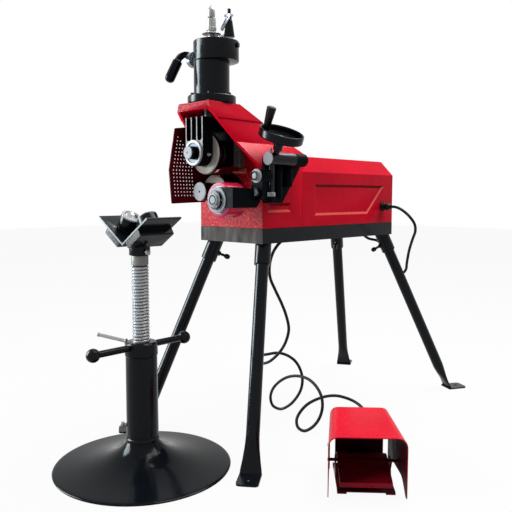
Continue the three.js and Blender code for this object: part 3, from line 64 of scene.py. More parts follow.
MM = 0.001
TO_ROW = Matrix.Translation((-0.144, -0.202, 0.0)) @ Matrix.Scale(MM, 4)
ALONG_X = Matrix(((0, 0, 1, 0), (1, 0, 0, 0), (0, 1, 0, 0), (0, 0, 0, 1)))
ALONG_Y = Matrix(((1, 0, 0, 0), (0, 0, -1, 0), (0, 1, 0, 0), (0, 0, 0, 1)))
X_AXIS = (1, 0, 0)
Y_AXIS = (0, 1, 0)
Z_AXIS = (0, 0, 1)
FORWARD = (0, -1, 0)
SIDES = (("left", -1), ("right", 1))
UV_NAME = "around"

# Places that several pieces share
SHAFT_UPPER = (0, 0, 800.0)
SHAFT_LOWER = (0, 0, 699.2)
RAM_AT = (0, -66.3, 0)
PUMP_AT = Vector((9, -58, 0))
FRAME_LOW = 559.0
FLANK = 124.0
PIVOT_X = 150.0
PIVOT_Z = 739.0
KNUCKLE_Z = 696.0
BAR = (PIVOT_X, 0, 785.0)
ROLLER = (90.0, 0.0, 677.3)
WHEEL_AT = (178.0, 13.0, 843.6)
WHEEL_LEAN = Vector((0.44, -0.08, 1.0)).normalized()
GLAND_AT = (124, 575, 653)
SWITCH_AT = (502.9, -51.7, 0.0)
SWITCH_TURN = 40.9
HOOD_HALF = 90.5
HOOD_TAPER = 0.17
HOOD_LENGTH = 185
STAND_AT = (-16.1, -297.0, 0.0)
LEVER_WAY = Vector((-0.86, -0.48, 0.16)).normalized()
V_LOW = 573.0
V_RISE = Vector((100.0, 65.0)).normalized()
LEGS = {
    "front_right": (1, 34.0, -153.0),
    "front_left": (-1, 34.0, -153.0),
    "rear_right": (1, 621.5, 862.0),
    "rear_left": (-1, 621.5, 862.0),
}

# The ledge in the throat, whose faces get a painted highlight, the top of the rough front face, and the
# outlines (y, z) of the panels that are pressed into the flanks with their depths
LEDGE_X = (36.5, 64.5)
LEDGE_Z = (748.5, 762.5)
ROUGH_FRONT_TOP = 757
PANEL = [(222.3, 631), (490, 631), (586, 721), (222.3, 721)], 1.7
POCKET = [(20, 643), (116, 643), (116, 668), (20, 668)], 2.9
BORDER = 7.0

# The guard's outline (y, z) with the three corners of its front edge, and the holes in it
GUARD_TOP = (-143, 868)
GUARD_NOSE = (-164, 757)
GUARD_FOOT = (-156, 667)
GUARD_OUTLINE = [
    (*GUARD_TOP, 4), (-106, 873, 3), (-30, 780), (-0.3, 752), (-0.3, 672), (*GUARD_FOOT, 4), (*GUARD_NOSE, 3),
]
GUARD_ROWS = 17
GUARD_COLUMNS = 7
GUARD_PITCH = (10.6, 9.75)
GUARD_HOLE = 1.6
GUARD_TOP_ROW = 845.0
GUARD_RIM = 15

CORD_DIAMETER = 9.0
CORD_ROUTE = [
    (160.4, 575, 653), (176, 576, 652), (195, 580, 644), (218, 590, 623), (228, 607, 598), (222, 624, 574),
    (203, 641, 546), (181, 658, 506), (163, 676, 462), (148, 696, 436), (126, 710, 421), (105, 708, 432),
    (94, 690, 470), (82, 668, 512), (66, 640, 534), (52, 610, 542), (50, 580, 556), (66, 550, 567),
    (92, 510, 568.5), (106, 440, 568), (106, 360, 568), (106, 280, 568), (106, 200, 568), (98, 160, 568),
    (78, 135, 561), (52, 125, 530), (34, 126, 486),
    (31, 132, 448), (39, 145, 412), (52, 158, 373), (62, 168, 336), (64, 178, 296), (52, 184, 262),
    (28, 190, 226), (3, 191, 199), (-30, 189, 173), (-56, 185, 166), (-72, 183, 175), (-64, 186, 187),
    (-40, 197, 195), (-9, 212, 202), (18, 224, 197), (40, 236, 181), (52, 246, 156), (55, 254, 124),
    (45, 260, 88), (23, 262, 53), (-6, 261, 23), (-38, 256, 5.2), (-62, 248, 12), (-66, 240, 38),
    (-50, 232, 72), (-18, 226, 104), (24, 220, 130), (70, 214, 144), (115, 208, 145), (150, 202, 132),
    (174, 196, 110), (184, 190, 82), (181, 181, 50), (164, 171, 21), (140, 161, 5.2), (118, 159, 11),
    (108, 165, 30), (109, 182, 51), (116, 207, 69), (130, 236, 81), (146, 262, 87), (164, 285, 87),
    (190, 300, 82), (218, 305, 75), (248, 298, 66), (278, 278, 56), (306, 248, 46), (330, 206, 36),
    (346, 164, 28), (358, 132, 26), (366.5, 106.5, 26),
]


class GrooverLook(bpy.types.PropertyGroup):
    """Sizes and colours of the machine's finish."""

    red: FloatVectorProperty(
        name="Red", description="Gloss red of the casting, the housing and the switch hood",
        subtype="COLOR", size=3, min=0.0, max=1.0, default=(0.60, 0.003, 0.020),
    )
    dark_red: FloatVectorProperty(
        name="Dark red", description="Dark red of the side guard and the pedal",
        subtype="COLOR", size=3, min=0.0, max=1.0, default=(0.13, 0.002, 0.008),
    )
    black: FloatVectorProperty(
        name="Black", description="Gloss black of the legs, the frame and the stand",
        subtype="COLOR", size=3, min=0.0, max=1.0, default=(0.004, 0.0055, 0.008),
    )
    tyre: FloatVectorProperty(
        name="Tyre", description="Colour of the roller's polyurethane tyre",
        subtype="COLOR", size=3, min=0.0, max=1.0, default=(0.55, 0.006, 0.045),
    )
    edge: FloatProperty(
        name="Edge", description="Rounding of the edges of castings and plates",
        subtype="DISTANCE", unit="LENGTH", min=0.0, max=0.01, default=0.0012,
    )
    crease: FloatProperty(
        name="Crease", description="Edges sharper than this stay sharp in the shading",
        subtype="ANGLE", unit="ROTATION", min=0.0, max=math.pi, default=math.radians(35),
    )
    sides: IntProperty(
        name="Sides", description="Sides of a full turn on the large round pieces",
        min=24, max=192, default=96,
    )


class GrooverStage(bpy.types.PropertyGroup):
    """Camera and light."""

    camera_at: FloatVectorProperty(
        name="Camera", description="Where the camera stands",
        subtype="XYZ", unit="LENGTH", size=3, default=(1.1425, -1.4335, 0.6865),
    )
    camera_turn: FloatVectorProperty(
        name="Turn", description="How the camera is turned", subtype="EULER", unit="ROTATION", size=3,
        default=(math.radians(84.64), 0.0, math.radians(43.93)),
    )
    lens: FloatProperty(
        name="Lens", description="Focal length on a 36 mm sensor", unit="CAMERA", min=10.0, max=200.0,
        default=44.67,
    )
    key: FloatProperty(
        name="Key light", description="Power of the large panel in front and to the left",
        unit="POWER", min=0.0, max=1000.0, default=95.0,
    )
    strip: FloatProperty(
        name="Strip light",
        description="Power of the panel on the left that draws the stripes on gloss paint",
        unit="POWER", min=0.0, max=1000.0, default=340.0,
    )
    top: FloatProperty(
        name="Top light", description="Power of the panel overhead",
        unit="POWER", min=0.0, max=1000.0, default=160.0,
    )
    room: FloatProperty(
        name="Room", description="Brightness of the soft light from all round", min=0.0, max=2.0,
        default=0.075,
    )
    white: FloatProperty(
        name="White", description="Share of plain white in the floor that is seen", subtype="FACTOR",
        min=0.0, max=1.0, default=0.94,
    )


# Materials


def fill(tree, node, inputs):
    """Sets a node's inputs to values, or links them where a socket is given."""
    for name, value in inputs.items():
        if isinstance(value, bpy.types.NodeSocket):
            tree.links.new(value, node.inputs[name])
        else:
            node.inputs[name].default_value = value
    return node


def fresh(name, metallic=0.0, coat=0.0, gloss=0.5):
    """A new material with its node tree and its shader."""
    made = bpy.data.materials.new(name)
    made.use_nodes = True
    tree = made.node_tree
    shader = fill(tree, tree.nodes["Principled BSDF"], {
        "Metallic": metallic, "Specular IOR Level": gloss, "Coat Weight": coat, "Coat Roughness": 0.05,
    })
    return made, tree, shader


def mapped(tree, stretch=(1.0, 1.0, 1.0), around=False):
    """Object coordinates, or those that run around a turned piece, scaled by stretch."""
    if around:
        source = tree.nodes.new("ShaderNodeUVMap")
        source.uv_map = UV_NAME
        place = source.outputs["UV"]
    else:
        place = tree.nodes.new("ShaderNodeTexCoord").outputs["Object"]
    mapping = tree.nodes.new("ShaderNodeMapping")
    return fill(tree, mapping, {"Scale": stretch, "Vector": place}).outputs["Vector"]


def noise(tree, place, scale, detail=3.0):
    node = tree.nodes.new("ShaderNodeTexNoise")
    return fill(tree, node, {"Scale": scale, "Detail": detail, "Vector": place}).outputs["Fac"]


def tinted(tree, factor, low, high, start=0.35, end=0.65):
    """A colour that goes from low to high as the factor rises."""
    ramp = fill(tree, tree.nodes.new("ShaderNodeValToRGB"), {"Fac": factor})
    for stop, position, colour in zip(ramp.color_ramp.elements, (start, end), (low, high)):
        stop.position = position
        stop.color = (*colour, 1.0)
    return ramp.outputs["Color"]


def ranged(tree, factor, low, high):
    node = tree.nodes.new("ShaderNodeMapRange")
    return fill(tree, node, {
        "From Min": 0.3, "From Max": 0.7, "To Min": low, "To Max": high, "Value": factor,
    }).outputs["Result"]


def bumped(tree, shader, height, strength, depth):
    node = tree.nodes.new("ShaderNodeBump")
    fill(tree, node, {"Strength": strength, "Distance": depth, "Height": height})
    tree.links.new(node.outputs["Normal"], shader.inputs["Normal"])


def calculated(tree, operation, *values):
    node = tree.nodes.new("ShaderNodeMath")
    node.operation = operation
    return fill(tree, node, dict(enumerate(values))).outputs["Value"]


def scaled(colour, share):
    return tuple(channel * share for channel in colour)


def gloss_paint(name, colour, roughness, gloss, peel=0.10):
    """Sprayed gloss paint: slightly patchy colour and orange peel."""
    made, tree, shader = fresh(name, gloss=gloss)
    place = mapped(tree)
    fill(tree, shader, {
        "Base Color": tinted(tree, noise(tree, place, 7.0, 5.0), scaled(colour, 0.86), colour),
        "Roughness": ranged(tree, noise(tree, place, 38.0), roughness * 0.8, roughness * 1.3),
    })
    bumped(tree, shader, noise(tree, place, 420.0, 2.0), peel, 0.0004)
    return made


def cast_paint(name, colour):
    """Paint over rough cast iron: coarse grain in the bump, with pale flecks in the colour as painted glints.
    """
    made, tree, shader = fresh(name, gloss=0.04)
    place = mapped(tree)
    flecks = noise(tree, place, 240.0, 4.0)
    painted_glint = (min(1.0, colour[0] * 1.45), colour[1] + 0.16, colour[2] + 0.12)
    fill(tree, shader, {"Base Color": tinted(tree, flecks, colour, painted_glint, 0.50, 0.72), "Roughness": 0.36})
    bumped(tree, shader, calculated(tree, "ADD", flecks, noise(tree, place, 90.0, 2.0)), 0.75, 0.0016)
    return made


def bare_metal(name, light, dark, roughness, metallic=1.0, gloss=0.3, scale=60.0, stretch=(1.0, 1.0, 1.0),
               relief=0.12, around=False):
    """Bare or plated metal with tool marks: drawn out along one way by stretch."""
    made, tree, shader = fresh(name, metallic, gloss=gloss)
    marks = noise(tree, mapped(tree, stretch, around), scale, 5.0)
    fill(tree, shader, {
        "Base Color": tinted(tree, marks, dark, light),
        "Roughness": ranged(tree, marks, roughness * 1.3, roughness * 0.75),
    })
    bumped(tree, shader, marks, relief, 0.0003)
    return made


def turned_metal(name, light, dark, roughness, scale=6.0, rings=90.0, **named):
    """Metal with tool marks that run around a turned piece."""
    stretch = (1.0, rings, 1.0)
    return bare_metal(name, light, dark, roughness, scale=scale, stretch=stretch, around=True, **named)


def knurled_painted_light(name, light, dark, roughness, pitch):
    """Crossed knurling that runs around a turned piece; pitch in metres. The colour is lighter on the crests
    as painted highlight and darker in the grooves as painted shade.
    """
    made, tree, shader = fresh(name, metallic=1.0)
    place = mapped(tree, around=True)
    along = fill(tree, tree.nodes.new("ShaderNodeSeparateXYZ"), {"Vector": place}).outputs
    waves = []
    for way in ("ADD", "SUBTRACT"):
        slant = calculated(tree, way, along["X"], along["Y"])
        waves.append(calculated(tree, "SINE", calculated(tree, "MULTIPLY", slant, 2 * math.pi / pitch)))
    height = calculated(tree, "MINIMUM", *waves)
    fill(tree, shader, {"Base Color": tinted(tree, height, dark, light, 0.0, 0.8), "Roughness": roughness})
    bumped(tree, shader, height, 0.9, pitch * 0.35)
    return made


def moulded(name, colour, roughness, grain=700.0, relief=0.15, clear=0.0, soft=0.0):
    """Moulded plastic, rubber or polyurethane."""
    made, tree, shader = fresh(name, coat=clear, gloss=0.10)
    place = mapped(tree)
    tone = noise(tree, place, 22.0, 4.0)
    fill(tree, shader, {
        "Base Color": tinted(tree, tone, scaled(colour, 0.8), scaled(colour, 1.1)),
        "Roughness": ranged(tree, tone, roughness * 0.85, roughness * 1.2),
    })
    if soft:
        fill(tree, shader, {"Subsurface Weight": soft, "Subsurface Scale": 0.004})
    bumped(tree, shader, noise(tree, place, grain, 2.0), relief, 0.0003)
    return made


# Light and dark tones of two steels
BRIGHT = (0.56, 0.57, 0.58), (0.30, 0.31, 0.33)
OXIDE = (0.022, 0.023, 0.026), (0.008, 0.008, 0.010)

# Each finish: its slot, its maker and what the maker takes. A colour of the look is given by name and share.
FINISHES = {
    "red_paint": ("red_paint", gloss_paint, ("red", 1.0), 0.24, 0.05),
    # A lighter copy of the red on faces that look forward and down: painted highlight
    "red_edge": ("red_paint", gloss_paint, ("red", 1.65), 0.2, 0.03),
    "red_front": ("red_paint", gloss_paint, ("red", 1.0), 0.12, 0.015),
    "cast_red": ("red_paint", cast_paint, ("red", 1.0)),
    # Salmon red on the ledge in the throat: painted highlight
    "primer": ("red_paint", moulded, (0.80, 0.24, 0.20), 0.5),
    # Lighter and darker reds for the pressed panel borders: painted highlight and painted shade
    "crease_light": ("red_paint", gloss_paint, (0.95, 0.13, 0.11), 0.3, 0.05),
    "crease_dark": ("red_paint", gloss_paint, ("red", 0.22), 0.4, 0.03),
    "dark_red_paint": ("dark_red_paint", gloss_paint, ("dark_red", 1.0), 0.34, 0.06),
    # A darker copy of the dark red for the inside of the switch hood: painted shade
    "inner_red": ("dark_red_paint", gloss_paint, ("dark_red", 0.35), 0.4, 0.04),
    "pedal_red": ("dark_red_paint", gloss_paint, ("dark_red", 3.2), 0.3, 0.10),
    "black_paint": ("black_paint", gloss_paint, ("black", 1.0), 0.20, 0.115, dict(peel=0.05)),
    "dish_black": ("black_paint", gloss_paint, ("black", 1.0), 0.14, 0.07, dict(peel=0.03)),
    "satin_black": ("black_paint", gloss_paint, ("black", 0.8), 0.40, 0.018, dict(peel=0.25)),
    "bare_front": (
        "dark_steel", bare_metal, (0.13, 0.12, 0.112), (0.065, 0.060, 0.056), 0.60,
        dict(metallic=0.0, gloss=0.05, scale=34.0, stretch=(1.6, 1.0, 0.35), relief=0.25),
    ),
    "machined_grey": (
        "dark_steel", bare_metal, (0.52, 0.52, 0.50), (0.36, 0.36, 0.34), 0.50,
        dict(metallic=0.0, gloss=0.1, scale=160.0),
    ),
    "scuffed_grey": (
        "dark_steel", bare_metal, (0.20, 0.20, 0.195), (0.10, 0.10, 0.10), 0.50,
        dict(metallic=0.0, gloss=0.1, scale=120.0),
    ),
    "rail_steel": (
        "dark_steel", bare_metal, (0.15, 0.14, 0.14), (0.10, 0.095, 0.10), 0.50, dict(metallic=0.1),
    ),
    "forged_steel": (
        "dark_steel", bare_metal, (0.36, 0.36, 0.33), (0.04, 0.04, 0.04), 0.40,
        dict(metallic=0.0, gloss=0.2, scale=240.0, relief=0.7),
    ),
    "black_oxide": ("dark_steel", bare_metal, *OXIDE, 0.26),
    "turned_oxide": ("dark_steel", turned_metal, *OXIDE, 0.24, dict(relief=0.15)),
    "knurled_dark": ("dark_steel", knurled_painted_light, (0.10, 0.10, 0.11), (0.012, 0.012, 0.014), 0.3, 0.0030),
    "shadow": ("dark_steel", moulded, (0.004, 0.004, 0.005), 0.7),
    "bright_steel": ("bright_steel", bare_metal, *BRIGHT, 0.20),
    "turned_steel": ("bright_steel", turned_metal, *BRIGHT, 0.42, dict(metallic=0.04)),
    "faced_steel": (
        "bright_steel", turned_metal, (0.52, 0.56, 0.60), (0.40, 0.43, 0.47), 0.50,
        dict(metallic=0.0, gloss=0.15, rings=60.0, relief=0.15),
    ),
    # Polished steel of the roll faces, with a cream colour that is a painted reflection
    "roll_face": (
        "bright_steel", turned_metal, (0.70, 0.68, 0.61), (0.48, 0.46, 0.40), 0.40,
        dict(metallic=0.03, gloss=0.2, scale=30.0, rings=20.0, relief=0.06),
    ),
    "zinc_steel": (
        "zinc_steel", turned_metal, (0.58, 0.58, 0.55), (0.36, 0.36, 0.34), 0.34,
        dict(metallic=0.12, scale=8.0, rings=60.0),
    ),
    "zinc_plain": (
        "zinc_steel", bare_metal, (0.46, 0.52, 0.60), (0.30, 0.34, 0.40), 0.34, dict(metallic=0.15),
    ),
    "neck_steel": (
        "zinc_steel", turned_metal, (0.32, 0.32, 0.305), (0.20, 0.20, 0.19), 0.40,
        dict(metallic=0.1, gloss=0.2, scale=8.0, rings=60.0),
    ),
    "thread_steel": (
        "zinc_steel", turned_metal, (0.62, 0.64, 0.66), (0.42, 0.44, 0.46), 0.30,
        dict(metallic=0.30, scale=8.0, rings=60.0),
    ),
    "thread_shade": ("zinc_steel", moulded, (0.045, 0.047, 0.052), 0.5),
    "pink_polyurethane": (
        "pink_polyurethane", moulded, ("tyre", 1.0), 0.22,
        dict(grain=300.0, relief=0.05, clear=0.05, soft=0.15),
    ),
    "pink_face": (
        "pink_polyurethane", moulded, (0.72, 0.045, 0.17), 0.3, dict(grain=300.0, relief=0.05, soft=0.2),
    ),
    "black_rubber": (
        "black_rubber", moulded, (0.014, 0.014, 0.015), 0.42, dict(grain=900.0, relief=0.2),
    ),
    "knurled_rubber": (
        "black_rubber", knurled_painted_light, (0.15, 0.17, 0.22), (0.006, 0.006, 0.009), 0.30, 0.0060,
    ),
    "black_plastic": (
        "black_plastic", moulded, (0.012, 0.012, 0.013), 0.30, dict(grain=800.0, relief=0.12),
    ),
}


def finish(name):
    """The named finish, made when it is first asked for."""
    found = bpy.data.materials.get("groover_" + name)
    if found:
        return found
    maker, *given = FINISHES[name][1:]
    named = given.pop() if isinstance(given[-1], dict) else {}
    if isinstance(given[0][0], str):
        colour, share = given[0]
        given[0] = scaled(getattr(bpy.context.scene.groover_look, colour), share)
    return maker("groover_" + name, *given, **named)


# Shapes


def stands(at, way=Z_AXIS):
    """The place of a shape that is made on +z and stands at a point, along a direction."""
    turn = Vector(Z_AXIS).rotation_difference(Vector(way))
    return Matrix.Translation(at) @ turn.to_matrix().to_4x4()


def rounded(corners, closed, steps=3):
    """An outline through corners (a, b) or (a, b, radius), with each radius turned into a short arc."""
    count = len(corners)
    points = []
    for i, (a, b, *radius) in enumerate(corners):
        here = Vector((a, b))
        if not radius or not (closed or 0 < i < count - 1):
            points.append(here)
            continue
        ends = []
        for other in (corners[i - 1], corners[(i + 1) % count]):
            step = Vector(other[:2]) - here
            ends.append(here + step.normalized() * min(radius[0], step.length / 2))
        for k in range(steps + 1):
            t = k / steps
            points.append(ends[0] * (1 - t) ** 2 + here * (2 * t * (1 - t)) + ends[1] * t ** 2)
    return [tuple(point) for point in points]


def chain(mesh, corners, closed=True):
    """The edges through a row of corners."""
    points = [mesh.verts.new(corner) for corner in corners]
    pairs = list(zip(points, points[1:] + points[:1] if closed else points[1:]))
    return points, [mesh.edges.new(pair) for pair in pairs]


def spun(mesh, parts, steps, merged, rise=0.0, total=None):
    """Spins points and edges about +z, over a full turn unless a total of steps is given."""
    total = total or steps
    bmesh.ops.spin(
        mesh, geom=parts, cent=(0, 0, 0), axis=Z_AXIS, dvec=(0, 0, rise), angle=2 * math.pi * total / steps,
        steps=total, use_merge=merged, use_duplicate=False,
    )


def unwrap(mesh):
    """Coordinates in metres that run around a turned shape and along its profile."""
    layer = mesh.loops.layers.uv.verify()
    reach = max(math.hypot(vert.co.x, vert.co.y) for vert in mesh.verts)
    for face in mesh.faces:
        middle = face.calc_center_median()
        base = math.atan2(middle.y, middle.x)
        for loop in face.loops:
            spot = loop.vert.co
            radius = math.hypot(spot.x, spot.y)
            angle = math.atan2(spot.y, spot.x) if radius > 1e-4 else base
            turn = (angle - base + math.pi) % (2 * math.pi) - math.pi + base
            loop[layer].uv = (turn * reach * MM, (spot.z + radius) * MM)


def lathe(profile, steps=None):
    """A profile of (radius, along) corners spun about +z; it is a ring if both its ends are off the axis."""
    closed = min(profile[0][0], profile[-1][0]) > 0
    mesh = bmesh.new()
    points, edges = chain(mesh, [(radius, 0.0, along) for radius, along in rounded(profile, closed)], closed)
    spun(mesh, points + edges, steps or bpy.context.scene.groover_look.sides, True)
    bmesh.ops.remove_doubles(mesh, verts=mesh.verts, dist=1e-4)
    bmesh.ops.recalc_face_normals(mesh, faces=mesh.faces)
    unwrap(mesh)
    return mesh


def thread(radius, depth, pitch, low, high, steps):
    """The ridge of a screw thread about +z."""
    mesh = bmesh.new()
    root = radius - depth - 0.2
    ridge = [(root, -0.42), (radius, -0.16), (radius, 0.16), (root, 0.42)]
    points, edges = chain(mesh, [(r, 0.0, low + share * pitch) for r, share in ridge])
    spun(mesh, points + edges, steps, False, pitch / steps, round((high - low) / pitch * steps))
    bmesh.ops.holes_fill(mesh, edges=[edge for edge in mesh.edges if edge.is_boundary], sides=4)
    bmesh.ops.recalc_face_normals(mesh, faces=mesh.faces)
    unwrap(mesh)
    return mesh


def slab(loops, low, high):
    """A flat plate across +z from its outer outline and its holes."""
    mesh = bmesh.new()
    edges = [edge for loop in loops for edge in chain(mesh, [(a, b, low) for a, b in loop])[1]]
    filled = bmesh.ops.triangle_fill(mesh, use_beauty=True, use_dissolve=False, edges=edges)["geom"]
    faces = [part for part in filled if isinstance(part, bmesh.types.BMFace)]
    grown = bmesh.ops.extrude_face_region(mesh, geom=faces)["geom"]
    tops = [part for part in grown if isinstance(part, bmesh.types.BMVert)]
    bmesh.ops.translate(mesh, vec=(0, 0, high - low), verts=tops)
    bmesh.ops.recalc_face_normals(mesh, faces=mesh.faces)
    return mesh


def circle(radius, centre=(0.0, 0.0), count=32):
    turns = [2 * math.pi * i / count for i in range(count)]
    return [(centre[0] + radius * math.cos(turn), centre[1] + radius * math.sin(turn)) for turn in turns]


def softened_edges(mesh, edges, offset, segments):
    bmesh.ops.bevel(
        mesh, geom=edges, offset=offset, affect="EDGES", segments=segments, profile=0.5, material=-1,
        clamp_overlap=True,
    )


def block(x0, x1, y0, y1, z0, z1, edge=0.0):
    """A box between two corners, with its edges rounded."""
    mesh = bmesh.new()
    size = Matrix.Diagonal((x1 - x0, y1 - y0, z1 - z0, 1.0))
    middle = Matrix.Translation(((x0 + x1) / 2, (y0 + y1) / 2, (z0 + z1) / 2))
    bmesh.ops.create_cube(mesh, size=1.0, matrix=middle @ size)
    if edge:
        softened_edges(mesh, mesh.edges[:], edge, 2)
    return mesh


def sphere(radius, centre, around=48, up=24):
    mesh = bmesh.new()
    bmesh.ops.create_uvsphere(
        mesh, u_segments=around, v_segments=up, radius=radius, matrix=Matrix.Translation(centre),
    )
    mesh.loops.layers.uv.verify()
    return mesh


def hex_head(radius, low, high):
    """A hexagon bolt head on +z with its corners turned off."""
    shoulder = high - radius * 0.16
    return lathe([(0, low), (radius, low), (radius, shoulder), (radius * 0.86, high), (0, high)], 6)


def together(*shapes):
    """Several closed shapes as one mesh."""
    whole = bmesh.new()
    for shape in shapes:
        data = bpy.data.meshes.new("part")
        shape.to_mesh(data)
        shape.free()
        whole.from_mesh(data)
        bpy.data.meshes.remove(data)
    return whole


def moved(mesh, place):
    bmesh.ops.transform(mesh, matrix=place, space=Matrix(), verts=mesh.verts)
    return mesh


def make(name, body, mesh, finishes, place=None, node=None, pick=None, edge=0.0):
    """Turns a shape into a named piece that rides on a body, and stands for a CAD node where one is named."""
    look = bpy.context.scene.groover_look
    if place is not None:
        moved(mesh, place)
    mesh.normal_update()
    if pick:
        for face in mesh.faces:
            face.material_index = pick(face.calc_center_median(), face.normal)
    moved(mesh, TO_ROW)
    data = bpy.data.meshes.new(name)
    mesh.to_mesh(data)
    mesh.free()
    names = [finishes] if isinstance(finishes, str) else finishes
    for one in names:
        data.materials.append(finish(one))
    data.shade_smooth()
    data.set_sharp_from_angle(angle=look.crease)
    piece = bpy.data.objects.new(name, data)
    bpy.context.scene.collection.objects.link(piece)
    if edge:
        softened = piece.modifiers.new("Edge", "BEVEL")
        softened.width = edge
        softened.segments = 2
        softened.limit_method = "ANGLE"
        softened.angle_limit = look.crease
        softened.harden_normals = True
        softened.use_clamp_overlap = True
    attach(piece, body)
    if node:
        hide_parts(node)
    return piece


def turned(name, profile, finishes, at=(0.0, 0.0, 0.0), way=Z_AXIS, body=None, steps=None, pick=None,
           place=None):
    """A turned piece that stands for the CAD node of that name, or that is added to a body."""
    where = stands(at, way)
    if place is not None:
        where = place @ where
    if body:
        return make(name, body, lathe(profile, steps), finishes, where, None, pick)
    return make(name + "_turned", BODY_OF[name], lathe(profile, steps), finishes, where, name, pick)


def dressed(node, finishes, pick=None, edge=None):
    """A merged copy of a CAD node with softened edges, in its place."""
    mesh = bmesh.new()
    mesh.from_mesh(frame["nodes"][node].data)
    bmesh.ops.remove_doubles(mesh, verts=mesh.verts, dist=2e-6)
    bmesh.ops.dissolve_limit(
        mesh, angle_limit=math.radians(0.6), use_dissolve_boundaries=False, verts=mesh.verts,
        edges=mesh.edges, delimit=set(),
    )
    moved(mesh, TO_ROW.inverted())
    for layer in list(mesh.loops.layers.uv.values()):
        mesh.loops.layers.uv.remove(layer)
    width = bpy.context.scene.groover_look.edge if edge is None else edge
    return make(node + "_dressed", BODY_OF[node], mesh, finishes, None, node, pick, width)


def cap_screw(name, body, at, way, head=5.0, height=5.0, finishes="black_oxide", place=None):
    """A socket head cap screw seen from outside."""
    socket = head * 0.5
    profile = [
        (0, height * 0.45), (socket, height * 0.45), (socket, height - 0.3), (socket + 0.3, height),
        (head - 0.6, height, 0.4), (head, height - 0.6), (head, -0.2), (0, -0.2),
    ]
    return turned(name, profile, finishes, at, way, body, 24, place=place)


def facing(y, slope=0.6):
    """Picks the second finish for the faces that look forward and lie in front of a depth."""
    return lambda spot, way: int(way.y < -slope and spot.y < y)


def off_axis(spot, axis):
    """How far a spot is from an axis along y."""
    return math.hypot(spot.x - axis[0], spot.z - axis[2])


# Pieces


class GROOVER_OT_camera(bpy.types.Operator):
    """Places the camera where the photograph was taken from"""

    bl_idname = "groover.camera"
    bl_label = "Camera"

    def execute(self, context):
        stage = context.scene.groover_stage
        data = bpy.data.cameras.new("camera")
        data.sensor_width = 36.0
        data.lens = stage.lens
        data.clip_end = 50.0
        camera = bpy.data.objects.new("camera", data)
        camera.location = stage.camera_at
        camera.rotation_euler = stage.camera_turn
        context.scene.collection.objects.link(camera)
        context.scene.camera = camera
        return {"FINISHED"}


def smooth_route(points, steps=9):
    """Points along a centripetal curve through the given ones."""
    ends = [points[0] * 2 - points[1], *points, points[-1] * 2 - points[-2]]
    route = [points[0]]
    for a, b, c, d in zip(ends, ends[1:], ends[2:], ends[3:]):
        first, middle, last = ((q - p).length ** 0.5 for p, q in ((a, b), (b, c), (c, d)))
        leave = ((b - a) / first - (c - a) / (first + middle) + (c - b) / middle) * middle
        reach = ((c - b) / middle - (d - b) / (middle + last) + (d - c) / last) * middle
        for k in range(1, steps + 1):
            t = k / steps
            route.append(
                b * (2 * t ** 3 - 3 * t ** 2 + 1) + leave * (t ** 3 - 2 * t ** 2 + t)
                + c * (3 * t ** 2 - 2 * t ** 3) + reach * (t ** 3 - t ** 2)
            )
    return route


class GROOVER_OT_cord(bpy.types.Operator):
    """Lays the foot switch's cord from the gland to the switch"""

    bl_idname = "groover.cord"
    bl_label = "Foot switch cord"

    def execute(self, context):
        route = smooth_route([TO_ROW @ Vector(point) for point in CORD_ROUTE])
        curve = bpy.data.curves.new("cord_line", "CURVE")
        curve.dimensions = "3D"
        curve.bevel_depth = CORD_DIAMETER / 2 * MM
        curve.bevel_resolution = 5
        curve.use_fill_caps = True
        line = curve.splines.new("POLY")
        line.points.add(len(route) - 1)
        for point, place in zip(line.points, route):
            point.co = (*place, 1.0)
        curve.materials.append(finish("black_rubber"))
        piece = bpy.data.objects.new("switch_cord", curve)
        context.scene.collection.objects.link(piece)
        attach(piece, "machine")
        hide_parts("foot_cord")
        return {"FINISHED"}


def leg_lines(name):
    """A leg's top and foot with the directions down it, outward over the floor and inward across it."""
    side, top_y, foot_y = LEGS[name]
    top = Vector((side * 95.5, top_y, FRAME_LOW))
    foot = Vector((side * 229.0, foot_y, 2.5))
    down = (foot - top).normalized()
    outward = Vector((down.x, down.y, 0)).normalized()
    inward = (down * outward.dot(down) - outward).normalized()
    return top, foot, down, outward, inward


def leg_tube(top, foot, down, outward):
    """A round tube that is pressed flat towards its foot."""
    length = (foot - top).length
    across = down.cross(outward).normalized()
    turn = Matrix((across, across.cross(down).normalized(), down)).transposed().to_4x4()
    ends = [
        (10, 17.5, 17.5), (length - 100, 17.5, 17.5), (length - 90, 17.6, 17.2), (length - 78, 18.2, 15.6),
        (length - 62, 19.5, 12.8), (length - 48, 21.4, 9.2), (length - 34, 23.2, 6.4),
        (length - 22, 25.2, 4.6), (length - 12, 27, 3.6), (length, 28, 2.4),
    ]
    mesh = bmesh.new()
    last = None
    for i, (along, wide, deep) in enumerate(ends):
        place = Matrix.Translation(top + down * along) @ turn @ Matrix.Diagonal((wide, deep, 1.0, 1.0))
        made = bmesh.ops.create_circle(
            mesh, cap_ends=i in (0, len(ends) - 1), segments=40, radius=1.0, matrix=place,
        )
        ring = {edge for vert in made["verts"] for edge in vert.link_edges}
        if last:
            bmesh.ops.bridge_loops(mesh, edges=list(last | ring))
        last = ring
    bmesh.ops.recalc_face_normals(mesh, faces=mesh.faces)
    return mesh


